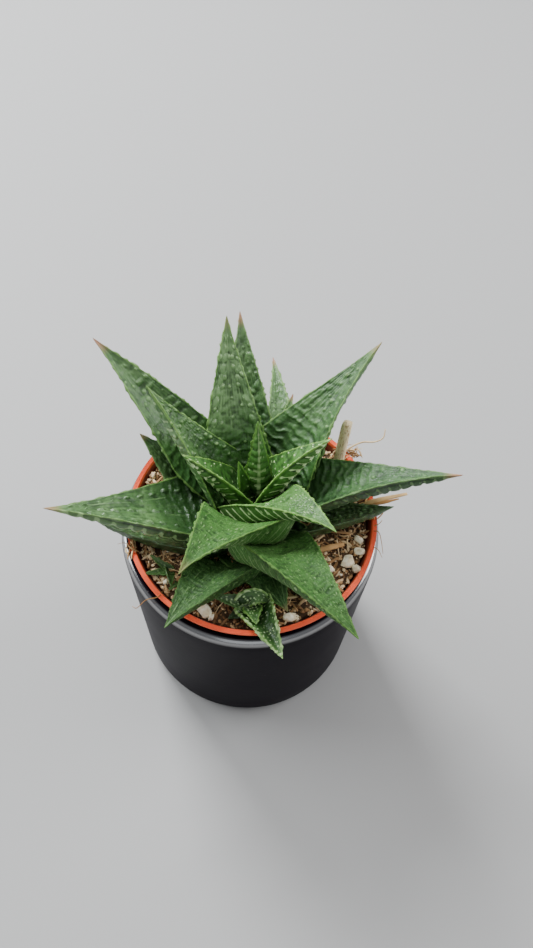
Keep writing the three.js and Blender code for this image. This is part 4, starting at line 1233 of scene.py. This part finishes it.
# Cuts the round drainage holes in the nursery pot's floor, each with a drill as its tool
def cutHoles(piece):
    sides = holes["sides"]
    angles = np.linspace(0, fullTurn, sides, endpoint=False)
    low, high = np.arange(sides), np.arange(sides) + sides
    walls = np.stack([low, np.roll(low, -1), np.roll(high, -1), high], -1).tolist()
    for order in range(holes["count"]):
        turn = fullTurn * order / holes["count"]
        x = linerShift + holes["ring"] * math.cos(turn) + holes["radius"] * np.cos(angles)
        y = holes["ring"] * math.sin(turn) + holes["radius"] * np.sin(angles)
        rings = [np.stack([x, y, angles * 0 + holes[end]], -1) for end in ("low", "high")]
        mesh = bpy.data.meshes.new("drill")
        faces = walls + [low[::-1].tolist(), high.tolist()]
        mesh.from_pydata((np.concatenate(rings) * millimetre).tolist(), [], faces)
        drill = bpy.data.objects.new("drill", mesh)
        scene.collection.objects.link(drill)
        cut = piece.modifiers.new("hole", "BOOLEAN")
        cut.operation = "DIFFERENCE"
        cut.object = drill
        bpy.context.view_layer.update()
        evaluated = piece.evaluated_get(bpy.context.evaluated_depsgraph_get())
        holed = bpy.data.meshes.new_from_object(evaluated)
        piece.modifiers.clear()
        piece.data = holed
        bpy.data.objects.remove(drill)


cutHoles(turnedPiece("nursery_pot_shell", linerProfile, potSides, (linerShift, 0), plasticMaterial(),
                     ["nursery_pot"]))
print("pots turned")

# The room, in metres and watts: each square lamp has its place, side, power and colour
room = dict(floor=6, floorColour=(0.42, 0.415, 0.41, 1), floorRough=0.7, sky=(0.85, 0.88, 0.92, 1),
            skyPower=0.34)
lampTarget = (0, 0, 0.09)
lamps = {
    "window": ((-0.5, 0.75, 0.95), 0.4, 24, (0.95, 0.98, 1.0)),
    "ceiling": ((-0.1, 0.1, 1.6), 1.2, 9, (1.0, 0.99, 0.97)),
    "front": ((0.1, -1.7, 0.75), 1.2, 3.2, (0.93, 0.97, 1.0)),
    "left": ((-1.3, 0.45, 0.62), 0.9, 20, (0.93, 0.97, 1.0)),
    "right": ((1.3, 0.45, 0.62), 0.9, 17, (0.97, 0.98, 1.0)),
}


# A plain square floor round the origin, part of the stage only
def layFloor():
    reach = room["floor"]
    mesh = bpy.data.meshes.new("floor")
    corners = [(-reach, -reach, 0), (reach, -reach, 0), (reach, reach, 0), (-reach, reach, 0)]
    mesh.from_pydata(corners, [], [(0, 1, 2, 3)])
    paint = {"Base Color": room["floorColour"], "Roughness": room["floorRough"]}
    mesh.materials.append(Shader("floor_paint").finish(paint))
    floor = bpy.data.objects.new("floor", mesh)
    scene.collection.objects.link(floor)


# A lamp at its place, facing the target: its axes follow from the line between the two
def hangLamp(name, place, size, power, colour):
    light = bpy.data.lights.new(name, "AREA")
    light.size = size
    light.energy = power
    light.color = colour
    holder = bpy.data.objects.new(name, light)
    ahead = np.array(lampTarget, float) - np.array(place, float)
    ahead /= np.linalg.norm(ahead)
    across = np.cross(ahead, [0.0, 0.001, 1.0])
    across /= np.linalg.norm(across)
    above = np.cross(across, ahead)
    holder.matrix_world = poseOf(across, above, -ahead, place)
    scene.collection.objects.link(holder)


layFloor()
for name, values in lamps.items():
    hangLamp(name, *values)
world = bpy.data.worlds.new("room")
world.use_nodes = True
world.node_tree.nodes["Background"].inputs["Color"].default_value = room["sky"]
world.node_tree.nodes["Background"].inputs["Strength"].default_value = room["skyPower"]
scene.world = world

print("all placed")
